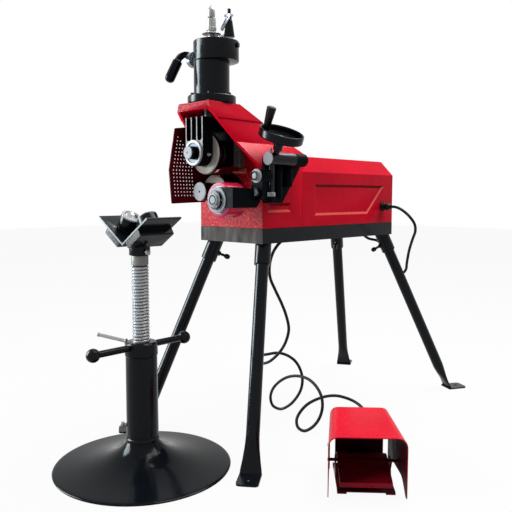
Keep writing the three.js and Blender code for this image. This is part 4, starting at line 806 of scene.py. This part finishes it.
class GROOVER_OT_legs(bpy.types.Operator):
    """Makes the base frame, its four legs, their sockets and their clamping screws"""

    bl_idname = "groover.legs"
    bl_label = "Base frame and legs"

    def execute(self, context):
        dressed("base_frame", ["black_paint", "bare_front"], facing(1.0, 0.9))
        foot_plate = rounded([(-8, -28, 4), (62, -28, 12), (62, 28, 12), (-8, 28, 4)], True, 5)
        knob = [
            (0, 22.6), (4, 22.6), (4, 40), (5.6, 41.5, 0.6), (7.5, 45.5, 1), (7.5, 52.5, 1.5), (4.5, 57, 1.5),
            (0, 57.6),
        ]
        for name in LEGS:
            top, foot, down, outward, inward = leg_lines(name)
            heading = Matrix.Rotation(math.atan2(outward.y, outward.x), 4, "Z")
            plate = moved(
                slab([foot_plate, circle(6, (34.1, 0), 24)], 0, 5),
                Matrix.Translation((foot.x, foot.y, 0)) @ heading,
            )
            node = "leg_" + name
            tube = together(leg_tube(top, foot, down, outward), plate)
            make(node + "_tube", "machine", tube, "black_paint", node=node)
            sleeve = lathe([(17.9, -24), (22.3, -24), (22.3, 62, 1), (17.9, 62, 1)], 48)
            moved(sleeve, stands(top, down))
            bmesh.ops.bisect_plane(
                sleeve, geom=sleeve.verts[:] + sleeve.edges[:] + sleeve.faces[:], dist=1e-4,
                plane_co=(0, 0, FRAME_LOW - 0.1), plane_no=Z_AXIS, clear_outer=True,
            )
            make(node + "_socket", "machine", sleeve, "black_paint")
            screw = "leg_screw_" + name
            place = stands(top + down * 34, inward)
            make(screw + "_knob", BODY_OF[screw], lathe(knob, 40), "turned_oxide", place, screw)
            make(node + "_nut", "machine", hex_head(7.4, 22.5, 27), "black_paint", place)
        return {"FINISHED"}


def inset(corners, by):
    """The corners of a convex outline moved inward, for corners that run counterclockwise."""
    inner = []
    for before, here, after in zip(corners[-1:] + corners[:-1], corners, corners[1:] + corners[:1]):
        first = (Vector(here) - Vector(before)).normalized()
        second = (Vector(after) - Vector(here)).normalized()
        across = Vector((-first.y, first.x))
        bisector = (across + Vector((-second.y, second.x))).normalized()
        inner.append(tuple(Vector(here) + bisector * (by / bisector.dot(across))))
    return inner


def pressed_border(name, corners, depth, side):
    """The sloping border inside a pressed panel on one flank, with a painted highlight above and painted
    shade below.
    """
    mesh = slab([corners, inset(corners, BORDER)], FLANK - depth, FLANK - 0.1)
    outer = {tuple(round(value, 2) for value in corner) for corner in corners}
    low = [
        vert for vert in mesh.verts
        if vert.co.z > FLANK - 1 and tuple(round(value, 2) for value in vert.co.xy) not in outer
    ]
    bmesh.ops.translate(mesh, vec=(0, 0, 0.2 - depth), verts=low)
    moved(mesh, Matrix.Diagonal((side, 1, 1, 1)) @ ALONG_X)
    bmesh.ops.recalc_face_normals(mesh, faces=mesh.faces)

    def shade(spot, way):
        return 0 if abs(way.z) < 0.1 else 1 if way.z > 0 else 2

    make(name, "machine", mesh, ["red_paint", "crease_light", "crease_dark"], pick=shade)


class GROOVER_OT_casting(bpy.types.Operator):
    """Makes the red casting, the rear housing and what is bolted into the throat"""

    bl_idname = "groover.casting"
    bl_label = "Casting and housing"

    def execute(self, context):
        # Finishes of the casting by face: the ledge gets a painted highlight, faces looking forward and down
        # a lighter red as painted highlight
        def casting_finish(spot, way):
            if LEDGE_X[0] < spot.x < LEDGE_X[1] and -27 < spot.y < 0 and LEDGE_Z[0] < spot.z < LEDGE_Z[1]:
                return 2
            if way.y > -0.4:
                return 0
            if way.y > -0.9 and way.z < -0.3:
                return 4
            return 1 if abs(spot.y) < 1.5 and spot.z < ROUGH_FRONT_TOP else 3

        finishes = ["red_paint", "cast_red", "primer", "red_front", "red_edge"]
        dressed("frame_casting", finishes, casting_finish, 0.0018)
        dressed("rear_housing", "red_paint", edge=0.0016)
        for name, side in SIDES:
            pressed_border("panel_border_" + name, *PANEL, side)
            pressed_border("pocket_border_" + name, *POCKET, side)
        cover = [(25.7, -4.6), (48, -4.6, 1), (50, -2.6, 1), (50, -0.3), (25.7, -0.3)]
        turned("bearing_cover", cover, "black_paint", SHAFT_LOWER, Y_AXIS)
        for name, side in SIDES:
            dressed("guide_rail_" + name, "rail_steel", edge=0.0008)
            for z in (836, 860):
                cap_screw(f"rail_screw_{name}_{z}", "machine", (side * 46, -20, z), FORWARD, 4.2, 1.2)
        # A black plate across the back of the throat: partly the black ram housing, partly painted shade of
        # the throat
        make("throat_plate", "machine", block(-34, 34, 0.2, 1.8, 776, 902), "satin_black")
        return {"FINISHED"}


class GROOVER_OT_rolls(bpy.types.Operator):
    """Makes the ram, the yoke and the two rolls on their shafts"""

    bl_idname = "groover.rolls"
    bl_label = "Ram and rolls"

    def execute(self, context):
        ram = [(0, 893.3), (24, 893.3), (24, 969), (35.6, 969, 1), (35.6, 999, 1), (0, 999)]
        turned("ram", ram, "turned_oxide", RAM_AT)
        dressed("yoke", ["satin_black", "machined_grey"], facing(-129.5, 0.9), 0.0008)
        ring = [
            (17.4, -133), (26, -133, 0.8), (26, -135, 0.6), (33.5, -135, 1.2), (33.5, -130.3), (28.2, -130.3),
            (28.2, -123), (17.4, -123),
        ]
        # Inside radius 26.5 the ring's recessed face takes the dark oxide finish as painted shade; the rim
        # outside is bright steel
        turned(
            "bearing_ring", ring, ["turned_steel", "turned_oxide"], SHAFT_UPPER, Y_AXIS,
            pick=lambda spot, way: int(off_axis(spot, SHAFT_UPPER) < 26.5),
        )
        upper_shaft = [
            (0, -149.9), (2.2, -152), (2.6, -152.9, 0.3), (15.5, -152.9, 0.6), (17, -151.4), (17, -9),
            (0, -9),
        ]
        upper_roll = [
            (17.4, -92), (51.9, -92, 1), (54.9, -90, 1), (54.9, -80, 0.8), (53.9, -79), (38, -79, 1),
            (38, -56, 0.6), (40, -55, 0.6), (40, -47, 0.6), (38, -46, 0.6), (38, -42, 0.6), (17.4, -42),
        ]
        drive_shaft = [
            (0, -109.5), (2.4, -111.6), (3, -113.2, 0.4), (23.3, -113.2, 0.6), (24.8, -111.7), (24.8, 128),
            (0, 128),
        ]
        shaft_finishes = ["turned_oxide", "faced_steel"]
        turned("upper_shaft", upper_shaft, shaft_finishes, SHAFT_UPPER, Y_AXIS, pick=facing(-151))
        turned(
            "upper_roll", upper_roll, ["turned_oxide", "roll_face"], SHAFT_UPPER, Y_AXIS,
            pick=facing(-88, 0.5),
        )
        turned("drive_shaft", drive_shaft, shaft_finishes, SHAFT_LOWER, Y_AXIS, pick=facing(-111.6))
        lower_roll = [
            (25.2, -60), (44, -60, 0.8), (46, -58), (46, -57.5), (41.5, -55, 0.8), (41.5, -47, 0.8),
            (46, -45), (46, -14), (52, -13, 0.8), (52, -8, 0.8), (51, -7), (25.2, -7),
        ]

        knurl_radius = 46

        def lower_finish(spot, way):
            if way.y < -0.5 and spot.y < -57:
                return 1
            return 2 if abs(off_axis(spot, SHAFT_LOWER) - knurl_radius) < 0.1 and spot.y > -46 else 0

        finishes = ["turned_oxide", "roll_face", "knurled_dark"]
        turned("lower_roll", lower_roll, finishes, SHAFT_LOWER, Y_AXIS, pick=lower_finish)
        nipple = [
            (0, 0), (4.2, 0), (4.2, 2.4, 0.4), (2.6, 3.2), (2.2, 5.5), (3.1, 6.6, 0.4), (2.9, 8.4, 0.6),
            (0, 9.4),
        ]
        turned("grease_nipple", nipple, "zinc_steel", (33.9, -111, 795), X_AXIS, "ram_unit", 24)
        return {"FINISHED"}


class GROOVER_OT_hydraulics(bpy.types.Operator):
    """Makes the flange, cylinder, pump block and depth stud above the head"""

    bl_idname = "groover.hydraulics"
    bl_label = "Hydraulic unit"

    def execute(self, context):
        flange_top = 953
        screw_circle = 56.2
        flange = [
            (24.4, 931.3), (63.7, 931.3, 0.8), (64.7, 933), (64.7, 950.5, 1.5), (62.2, flange_top, 1),
            (24.4, flange_top),
        ]
        turned("cylinder_flange", flange, "black_paint", RAM_AT)
        for turn in range(0, 360, 60):
            angle = math.radians(turn + 12)
            spot = (screw_circle * math.cos(angle), RAM_AT[1] + screw_circle * math.sin(angle), flange_top)
            cap_screw(f"flange_screw_{turn}", "machine", spot, Z_AXIS)
        barrel = [(36, 953.3), (47.2, 953.3), (47.8, 954), (47.8, 1042), (36, 1042)]
        turned("cylinder", barrel, "black_paint", RAM_AT)
        self.pump_block()
        stud = [
            (0, 999.3), (9.5, 999.3), (9.5, 1112.3), (20, 1112.3, 0.6), (26, 1113.9, 0.8), (24, 1115.3, 0.8),
            (12, 1117), (9.5, 1118), (9.5, 1158.5, 0.5), (10, 1159.3), (10, 1176.3, 0.6), (8, 1180.3, 0.6),
            (3, 1187.3, 1), (0, 1189.3),
        ]
        screw = together(lathe(stud, 64), thread(9.75, 0.7, 2.0, 1095.5, 1111.5, 32))
        make("depth_stud_turned", "ram_unit", screw, "zinc_steel", stands(RAM_AT), "depth_stud")
        nut = [
            (9.9, 1122.3), (11.5, 1122.3), (13.5, 1124.3, 0.8), (13.5, 1131.3, 0.6), (12.3, 1132.3),
            (12.3, 1154.3, 0.8), (10.5, 1157.3), (9.9, 1157.3),
        ]
        # Above 1154.5 mm the top of the nut takes the dark oxide finish: a ring of painted shade
        turned(
            "depth_nut", nut, ["zinc_steel", "turned_oxide"], RAM_AT, steps=64,
            pick=lambda spot, way: int(spot.z > 1154.5),
        )
        return {"FINISHED"}

    def pump_block(self):
        loops = [circle(60.7, count=96), circle(9.9, (-9, -8.3)), circle(5.4, (7, 28), 24)]
        body = slab(loops, 1042.3, 1094.3)
        rims = [
            edge for edge in body.edges
            if edge.calc_face_angle(0.0) > 1.0 and all(vert.co.xy.length > 60 for vert in edge.verts)
        ]
        softened_edges(body, rims, 1.8, 3)
        make("pump_block_turned", "machine", body, "black_paint", Matrix.Translation(PUMP_AT), "pump_block")

        def outward(degrees):
            return Vector((math.cos(math.radians(degrees)), math.sin(math.radians(degrees)), 0))

        for name, turn, z, size in (("port_front", -31, 1074.3, 6.2), ("port_side", 7, 1057.3, 8.0)):
            plug = [
                (0, -3.2), (size * 0.5, -3.2), (size * 0.5, -0.8), (size * 0.8, -0.8),
                (size * 0.82, 0.5, 0.2), (size, 0.5, 0.3), (size, -0.4),
            ]
            out = outward(turn)
            at = PUMP_AT + out * 60.5 + Vector((0, 0, z))
            turned(name + "_plug", plug, "shadow", at, out, "machine", 32)
        out = outward(22)
        place = stands(PUMP_AT + out * 60.2 + Vector((0, 0, 1081)), out)
        make("relief_bolt", "machine", hex_head(7.2, -1, 6), "black_oxide", place)


class GROOVER_OT_pump(bpy.types.Operator):
    """Makes the release lever and the hand pump on the pump block"""

    bl_idname = "groover.pump"
    bl_label = "Release lever and hand pump"

    def execute(self, context):
        dressed("release_lever", ["zinc_plain", "black_paint"], lambda spot, way: int(spot.x < -66.5), 0.0006)
        grip = [(0, 6), (9.5, 6, 0.6), (13.5, 8, 1.5), (13.5, 62, 3), (11, 68, 3), (6, 71, 1), (0, 72)]
        turned("release_grip", grip, "knurled_rubber", (-72, -120, 1051), (0, -0.5, -0.866), steps=64)
        dressed("pump_clevis", "zinc_plain", edge=0.0006)
        rod = [(0, 1070.3), (5, 1070.3), (5, 1100, 0.6), (0, 1100.3)]
        turned("pump_plunger", rod, "bright_steel", (16, -30, 0), steps=32)
        tube = lathe([
            (0, 1108), (15, 1108, 1.2), (9, 1149, 0.8), (7, 1155, 0.6), (7, 1165), (4.5, 1167),
            (4.5, 1181, 1.4), (0, 1183),
        ], 48)
        hub = lathe([(3.4, -34.6), (7, -34.6, 0.5), (7, -25.4, 0.5), (3.4, -25.4)], 40)
        web = slab([[(6, 1108.5), (30, 1109), (30, 1123), (6, 1116)]], 25.4, 34.6)
        lever = together(
            moved(tube, stands((30, -30, 0))), moved(hub, stands((2, 0, 1111), Y_AXIS)), moved(web, ALONG_Y),
        )
        make("pump_lever_made", "pump_lever", lever, "black_paint", None, "pump_lever")
        dressed("pump_link", "zinc_plain", edge=0.0004)
        return {"FINISHED"}


def guard_front(z):
    """The guard's front edge at a height."""
    y, height = GUARD_NOSE
    end = GUARD_TOP if z > height else GUARD_FOOT
    return y + (end[0] - y) * (z - height) / (end[1] - height)


class GROOVER_OT_guard(bpy.types.Operator):
    """Makes the perforated guard beside the rolls"""

    bl_idname = "groover.guard"
    bl_label = "Perforated guard"

    def execute(self, context):
        loops = [rounded(GUARD_OUTLINE, True)]
        h = GUARD_HOLE
        for row in range(GUARD_ROWS):
            z = GUARD_TOP_ROW - row * GUARD_PITCH[1]
            for column in range(min(row + 1, GUARD_COLUMNS)):
                y = guard_front(z) + GUARD_RIM + column * GUARD_PITCH[0]
                loops.append([(y - h, z - h), (y + h, z - h), (y + h, z + h), (y - h, z + h)])
        guard = together(
            moved(slab(loops, -65.5, -63), ALONG_X), block(-81.5, -63, -2.8, -0.3, 680, 748, 0.3),
        )
        make("side_guard_perforated", "machine", guard, "dark_red_paint", None, "side_guard")
        return {"FINISHED"}


class GROOVER_OT_stabiliser(bpy.types.Operator):
    """Makes the stabiliser: bracket, cross bar, arm and roller"""

    bl_idname = "groover.stabiliser"
    bl_label = "Stabiliser"

    def execute(self, context):
        pivot = (PIVOT_X, 0, PIVOT_Z)
        knuckle_at = (PIVOT_X, 0, KNUCKLE_Z)
        dressed("stabiliser_bracket", "satin_black", edge=0.0012)
        sleeve = [(17.7, 92), (17.7, 137), (15, 137.6), (0, 137.6), (0, 92)]
        turned("bar_sleeve", sleeve, "satin_black", BAR, Y_AXIS, "machine")
        for name, y, size, low, high in (("front", 47, 12, 680, 768), ("rear", 86, 13, 712, 770)):
            column = [
                (0, low), (size + 0.2, low), (size + 0.2, high - size, 5), (size * 0.7, high - size * 0.3, 4),
                (0, high),
            ]
            at = (FLANK + 0.3 + size, y, 0)
            turned("bracket_rib_" + name, column, "satin_black", at, Z_AXIS, "machine", 48)
        bar = [(0, -8), (16, -8, 0.6), (17.5, -6.5), (17.5, 91.6), (9, 91.6), (9, 119), (0, 119)]
        turned("cross_bar", bar, ["turned_oxide", "faced_steel"], BAR, Y_AXIS, pick=facing(-6))
        stud = [
            (0, 674), (5, 674, 1), (5, 686), (10.5, 686, 1), (10.5, 697, 1), (7.5, 698), (7.5, 773.2),
            (0, 773.2),
        ]
        turned(
            "clamp_stud", stud, ["turned_oxide", "turned_steel"], (148, 9, 0), steps=48,
            pick=lambda spot, way: int(685 < spot.z < 698.5),
        )
        bolt = [
            (0, -59), (7.4, -59, 0.6), (8.4, -56.4), (10, -56.4), (10.6, -59, 0.4), (12, -58.2, 0.4),
            (12, -51.4), (18, -51.4, 0.6), (18, -49), (10, -49), (10, -3), (0, -3),
        ]
        turned(
            "pivot_bolt", bolt, ["faced_steel", "shadow"], pivot, Y_AXIS, steps=64,
            pick=lambda spot, way: int(spot.y < -51.5 and 8.2 < off_axis(spot, pivot) < 11.9),
        )
        knuckle = [
            (0, -55.4), (8.6, -55.4, 0.6), (9.4, -53.6), (11, -53.6), (11.4, -55.4, 0.3), (13.2, -54.6, 0.6),
            (13.2, -48.6), (0, -48.6),
        ]
        turned(
            "knuckle_bolt", knuckle, ["turned_oxide", "faced_steel"], knuckle_at, Y_AXIS, "stabiliser", 64,
            lambda spot, way: int(way.y < -0.6 and off_axis(spot, knuckle_at) < 8.8),
        )
        dressed("stabiliser_arm", "satin_black", edge=0.0010)
        self.roller()
        fitting = [(0, 0), (3.4, 0), (3.4, 5, 0.5), (2.4, 6), (2.4, 9), (3.2, 10, 0.4), (3, 13, 0.8), (0, 14)]
        turned("bar_fitting", fitting, "zinc_steel", (PIVOT_X - 7, 12, BAR[2] + 14.4), Z_AXIS, "machine", 24)
        return {"FINISHED"}

    def roller(self):
        plate = [(10.4, -135), (31.5, -135, 0.8), (33, -134, 0.5), (33, -132.4), (10.4, -132.4)]
        turned("roller_plate", plate, "faced_steel", ROLLER, Y_AXIS)
        axle = [
            (0, -148.3), (9.4, -148.3, 0.6), (10, -146.5), (12, -146.5), (12.6, -148.3, 0.4),
            (14.6, -148.3, 0.6), (15.5, -146.8), (15.5, -143.3), (23, -143.3, 0.5), (24, -142.5, 0.5),
            (24, -135.9), (23.4, -135.3), (10, -135.3), (10, -62.5), (0, -62.5),
        ]

        def axle_finish(spot, way):
            radius = off_axis(spot, ROLLER)
            if spot.y < -143.7:
                return 0 if radius < 9.6 or radius > 12.4 else 2
            return 1 if radius > 15.7 else 0

        finishes = ["faced_steel", "turned_oxide", "shadow"]
        turned("roller_axle", axle, finishes, ROLLER, Y_AXIS, pick=axle_finish)
        nut = hex_head(25.6, 135.4, 144.2)
        make("roller_nut", "stabiliser", nut, "forged_steel", stands(ROLLER, FORWARD), edge=0.0008)
        hub = [(10.4, -126), (36, -126), (36, -67), (10.4, -67)]
        turned("roller_hub", hub, "turned_steel", ROLLER, Y_AXIS)
        tyre = [(36.3, -126.5), (44.9, -126.5, 2.6), (44.9, -66.5, 2.6), (36.3, -66.5)]
        turned("roller_tyre", tyre, ["pink_polyurethane", "pink_face"], ROLLER, Y_AXIS, pick=facing(0, 0.75))


class GROOVER_OT_handwheel(bpy.types.Operator):
    """Makes the leaning handwheel and its turning handle"""

    bl_idname = "groover.handwheel"
    bl_label = "Handwheel"

    def execute(self, context):
        wheel = [
            (0, -69), (8, -69), (8, -41), (12, -40, 0.8), (13, -25, 0.8), (13, -13, 2), (53.5, -12, 2),
            (58.5, -10, 2), (59.5, -7, 1.5), (59.5, 10, 1.2), (57.5, 12, 1), (56.5, 12, 0.5), (54.5, 9, 1),
            (54.5, -6, 3), (18, -6, 2), (14, -2, 1), (8, -2, 0.8), (5, 0, 0.8), (0, 0),
        ]
        turned("handwheel", wheel, "black_paint", WHEEL_AT, WHEEL_LEAN)
        handle = [
            (0, -11), (4, -11), (4, -5.7), (8.5, -5.7, 0.5), (8.5, 0.3, 0.8), (12.5, 55.3, 1.5),
            (12.5, 60.3, 1.2), (10.5, 62.3, 1), (0, 62.3),
        ]
        place = stands(WHEEL_AT, WHEEL_LEAN)
        turned("crank_handle", handle, "black_plastic", (-39.6, -18, 0), steps=64, place=place)
        return {"FINISHED"}


class GROOVER_OT_foot_switch(bpy.types.Operator):
    """Makes the foot switch and both ends that hold its cord"""

    bl_idname = "groover.foot_switch"
    bl_label = "Foot switch"

    def execute(self, context):
        place = Matrix.Translation(SWITCH_AT) @ Matrix.Rotation(math.radians(SWITCH_TURN), 4, "Z")
        back = place.inverted()

        # Faces of the hood that look down or inward get the darker red: painted shade
        def hood_finish(spot, way):
            at = back @ spot
            inward = (back.to_3x3() @ way).x * at.x < -0.5 * abs(at.x)
            return int(way.z < -0.4 or inward)

        dressed("switch_hood", ["red_paint", "inner_red"], hood_finish, 0.0006)
        # The rear wall inside the hood takes the same darker red: painted shade
        rear = rounded([(-61, 8), (61, 8), (61, 147, 12), (-61, 147, 12)], True, 5)
        wall = moved(slab([rear, circle(12, (0, 26))], -183, -181), ALONG_Y)
        make("switch_rear_wall", "machine", wall, "inner_red", place)
        dressed("switch_base", "dark_red_paint", edge=0.0008)
        dressed("foot_pedal", "pedal_red", edge=0.0008)
        dressed("switch_box", "black_plastic", edge=0.0012)
        screw = [(0, 0), (4.6, 0), (4.6, 1.2, 0.6), (3.4, 2.4, 0.6), (0, 2.6)]
        for name, side in SIDES:
            for spot, y, z in (("low", 140, 44), ("high", 42, 108)):
                at = (side * (HOOD_HALF - HOOD_TAPER * HOOD_HALF * y / HOOD_LENGTH + 0.2), y, z)
                full = f"hood_screw_{name}_{spot}"
                turned(full, screw, "zinc_steel", at, (side, 0, 0), "machine", 24, place=place)
        gland = [
            (4.8, -8), (8, -8), (8, 0.3), (13, 0.3), (13, 11), (11.5, 11.5), (11.5, 14, 0.5), (10.9, 15),
            (11.5, 16, 0.5), (11.5, 22, 0.8), (10.5, 28, 2), (8.6, 31), (8.9, 32), (7.9, 33.4),
            (7.5, 36, 0.6), (4.8, 36),
        ]
        turned("cable_gland", gland, "black_plastic", GLAND_AT, X_AXIS, steps=48)
        make("gland_nut", "machine", hex_head(14.6, 0.4, 10.6), "black_plastic", stands(GLAND_AT, X_AXIS))
        return {"FINISHED"}


def on_wing(side, along=62.0):
    """The place of a ball unit on one wing of the V."""
    at = (side * V_RISE.x * along, 0, V_LOW + V_RISE.y * along)
    return Matrix.Translation(STAND_AT) @ stands(at, (-side * V_RISE.y, 0, V_RISE.x))


class GROOVER_OT_stand(bpy.types.Operator):
    """Makes the pipe stand: dish, column, nut, screw and V head with its balls"""

    bl_idname = "groover.stand"
    bl_label = "Pipe stand"

    def execute(self, context):
        place = Matrix.Translation(STAND_AT)
        dish = [
            (40.5, 73, 1), (42, 66, 6), (49, 57, 10), (64, 43, 14), (96, 27, 20), (147, 14, 30), (195, 8, 30),
            (221, 5.6, 3), (225, 3, 1.5), (224, 0.2), (219, 0), (190, 4), (147, 10), (96, 22), (62, 38),
            (46, 52), (30, 61), (30, 73),
        ]
        turned("stand_base", dish, "dish_black", steps=128, place=place)
        column = [(23, 73.3), (40.5, 73.3), (40.5, 74), (39.5, 287, 0.6), (23, 287.7)]
        turned("stand_column", column, "black_paint", place=place)
        weld = [(40.2, 72), (43, 72.6), (42, 76, 1), (40.2, 78)]
        turned("column_weld", weld, "black_paint", body="machine", place=place)
        out = Vector((-0.72, -0.694, 0)).normalized()
        screw = [(0, 40.4), (4, 40.4), (4, 47), (7.5, 47.6, 0.6), (7.5, 55, 1.2), (0, 56)]
        turned("column_screw", screw, "zinc_steel", (0, 0, 106), out, "machine", 32, place=place)
        ring = [(22.6, 288), (41, 288, 1), (41.5, 291, 1), (40.5, 319, 1.5), (36.5, 323, 1), (22.6, 323)]
        pieces = [lathe(ring, 96)]
        arm_height = 310.5
        for side in (-1, 1):
            arm = lathe([(0, 36), (8.5, 36), (8.5, 128), (0, 128)], 40)
            moved(arm, stands((0, 0, arm_height), (0, side, 0)))
            pieces += [arm, sphere(17, (0, side * 139, arm_height))]
        make("stand_nut_turned", "stand_nut", together(*pieces), "black_paint", place, "stand_nut")
        lever = [
            (0, 41.2), (7, 41.2), (7, 44, 0.6), (4.5, 45.5), (4.5, 116, 0.6), (5.2, 118, 0.6),
            (5.2, 123, 1.2), (0, 125),
        ]
        turned("lock_lever", lever, "zinc_steel", (0, 0, 313.5), LEVER_WAY, steps=40, place=place)
        self.screw(place)
        self.head(place)
        return {"FINISHED"}

    def screw(self, place):
        thread_top = 516
        core = lathe([
            (0, 107), (19.6, 107), (19.6, thread_top), (21.4, 518, 0.5), (21.4, 540, 0.8), (17, 541),
            (17, 561), (0, 561),
        ], 72)

        def screw_finish(spot, way):
            if spot.z > thread_top:
                return 2
            return int((spot.xy - place.translation.xy).length < 19.7)

        make(
            "stand_screw_turned", "stand_screw", together(core, thread(21.9, 2.3, 8.0, 150, thread_top, 48)),
            ["thread_steel", "thread_shade", "neck_steel"], place, "stand_screw", screw_finish,
        )

    def head(self, place):
        dressed(
            "v_head", ["black_paint", "scuffed_grey"],
            lambda spot, way: int(abs(way.y) > 0.9 and 50.2 < abs(spot.y - STAND_AT[1]) < 51), 0.0008,
        )
        socket = [(17.4, 541.4), (26.2, 541.4, 1), (26.2, 565), (17.4, 565)]
        turned("head_socket", socket, "black_paint", body="v_head", place=place)
        screw = [(0, 26.4), (4, 26.4), (4, 31), (7, 31, 0.5), (7, 36, 0.8), (4, 37.4), (4, 40, 0.8), (0, 40)]
        turned("head_screw", screw, "zinc_steel", (0, 0, 550), X_AXIS, steps=32, place=place)
        cup = [(18.3, 3), (25.5, 3), (25.5, 34, 1), (18.3, 34)]
        rim = [
            (17.9, 34.2), (25.3, 34.2, 0.8), (25.3, 37, 1.2), (20, 39.4, 1), (16.8, 39.8, 0.5), (16.6, 38.6),
            (17.9, 35),
        ]
        for name, side in SIDES:
            on = on_wing(side)
            turned(f"ball_cup_{name}", cup, "black_paint", body="v_head", place=on)
            turned(f"cup_rim_{name}", rim, "turned_steel", body="v_head", place=on)
            ball = "ball_" + name
            make(ball + "_polished", ball, sphere(17.6, (0, 0, 29.9), 64, 32), "bright_steel", on, ball)
            for spot, y in (("front", -34), ("rear", 34)):
                full = f"cup_screw_{name}_{spot}"
                cap_screw(full, "v_head", (side * 4, y, 0), Z_AXIS, 3.6, 3, "zinc_steel", on)


class GROOVER_OT_inner(bpy.types.Operator):
    """Gives the motor unit inside the housing its finish"""

    bl_idname = "groover.inner"
    bl_label = "Inner parts"

    def execute(self, context):
        data = frame["nodes"]["gear_motor"].data
        data.materials.clear()
        data.materials.append(finish("black_oxide"))
        return {"FINISHED"}


def panel_light(name, at, towards, size, power, colour=(1.0, 1.0, 1.0)):
    data = bpy.data.lights.new(name, "AREA")
    data.shape = "RECTANGLE"
    data.size, data.size_y = size
    data.energy = power
    data.color = colour
    lamp = bpy.data.objects.new(name, data)
    lamp.location = at
    lamp.rotation_euler = (Vector(towards) - Vector(at)).to_track_quat("-Z", "Y").to_euler()
    bpy.context.scene.collection.objects.link(lamp)
    return lamp


def sees_background(tree):
    """One for the rays that see the white background: from the camera, off gloss and through clear parts."""
    path = tree.nodes.new("ShaderNodeLightPath")
    mirrored = calculated(tree, "MAXIMUM", path.outputs["Is Glossy Ray"], path.outputs["Is Transmission Ray"])
    return calculated(tree, "MAXIMUM", path.outputs["Is Camera Ray"], mirrored)


def blended(tree, share, first, second):
    """A shader that goes from the first to the second as the share rises."""
    mix = tree.nodes.new("ShaderNodeMixShader")
    return fill(tree, mix, {"Fac": share, 1: first, 2: second}).outputs["Shader"]


class GROOVER_OT_stage(bpy.types.Operator):
    """Sets the floor, the lights and the white surroundings"""

    bl_idname = "groover.stage"
    bl_label = "Stage"

    def execute(self, context):
        stage = context.scene.groover_stage
        context.scene.view_settings.view_transform = "Standard"
        self.floor(stage.white)
        self.surroundings(context, stage.room)
        key = panel_light("key_panel", (-1.9, -2.9, 2.0), (-0.1, -0.1, 0.6), (1.9, 2.2), stage.key)
        key.visible_glossy = False
        strip = panel_light(
            "strip_panel", (-2.45, -2.08, 1.5), (-0.1, -0.2, 0.8), (1.25, 2.4), stage.strip,
            (0.82, 0.95, 1.0),
        )
        strip.visible_diffuse = False
        panel_light("top_panel", (0.3, 0.9, 3.1), (-0.05, 0.0, 0.7), (2.2, 2.2), stage.top)
        return {"FINISHED"}

    def floor(self, share):
        mesh = bmesh.new()
        bmesh.ops.create_grid(mesh, x_segments=1, y_segments=1, size=12.0)
        data = bpy.data.meshes.new("studio_floor")
        mesh.to_mesh(data)
        mesh.free()
        made, tree, shader = fresh("groover_floor", gloss=0.2)
        tone = tinted(tree, noise(tree, mapped(tree), 3.0), (0.48, 0.48, 0.485), (0.52, 0.52, 0.52))
        fill(tree, shader, {"Base Color": tone, "Roughness": 0.7})
        white = tree.nodes.new("ShaderNodeEmission")
        seen = calculated(tree, "MULTIPLY", sees_background(tree), share)
        surface = blended(tree, seen, shader.outputs["BSDF"], white.outputs["Emission"])
        tree.links.new(surface, tree.nodes["Material Output"].inputs["Surface"])
        data.materials.append(made)
        floor = bpy.data.objects.new("studio_floor", data)
        bpy.context.scene.collection.objects.link(floor)

    def surroundings(self, context, brightness):
        world = bpy.data.worlds.new("studio")
        context.scene.world = world
        world.use_nodes = True
        tree = world.node_tree
        room = fill(tree, tree.nodes["Background"], {"Color": (0.96, 0.98, 1.0, 1.0), "Strength": brightness})
        white = fill(tree, tree.nodes.new("ShaderNodeBackground"), {"Color": (1.0, 1.0, 1.0, 1.0)})
        seen = sees_background(tree)
        surface = blended(tree, seen, room.outputs["Background"], white.outputs["Background"])
        tree.links.new(surface, tree.nodes["World Output"].inputs["Surface"])


OPERATORS = [
    GROOVER_OT_camera, GROOVER_OT_cord, GROOVER_OT_legs, GROOVER_OT_casting, GROOVER_OT_rolls,
    GROOVER_OT_hydraulics, GROOVER_OT_pump, GROOVER_OT_guard, GROOVER_OT_stabiliser, GROOVER_OT_handwheel,
    GROOVER_OT_foot_switch, GROOVER_OT_stand, GROOVER_OT_inner, GROOVER_OT_stage,
]


class GROOVER_PT_panel(bpy.types.Panel):
    """Lists the pieces and their settings"""

    bl_idname = "GROOVER_PT_panel"
    bl_label = "Pipe groover"
    bl_space_type = "VIEW_3D"
    bl_region_type = "UI"
    bl_category = "Groover"

    def draw(self, context):
        layout = self.layout
        for group in (context.scene.groover_look, context.scene.groover_stage):
            box = layout.box()
            for name in group.bl_rna.properties.keys():
                if name not in ("rna_type", "name"):
                    box.prop(group, name)
        for operator in OPERATORS:
            layout.operator(operator.bl_idname)


CLASSES = [GrooverLook, GrooverStage, *OPERATORS, GROOVER_PT_panel]


def register():
    for one in CLASSES:
        bpy.utils.register_class(one)
    bpy.types.Scene.groover_look = bpy.props.PointerProperty(type=GrooverLook)
    bpy.types.Scene.groover_stage = bpy.props.PointerProperty(type=GrooverStage)


def unregister():
    del bpy.types.Scene.groover_stage
    del bpy.types.Scene.groover_look
    for one in reversed(CLASSES):
        bpy.utils.unregister_class(one)


def main():
    register()
    for operator in OPERATORS:
        group, name = operator.bl_idname.split(".")
        getattr(getattr(bpy.ops, group), name)()
    bpy.context.view_layer.update()


if __name__ == "__main__":
    main()
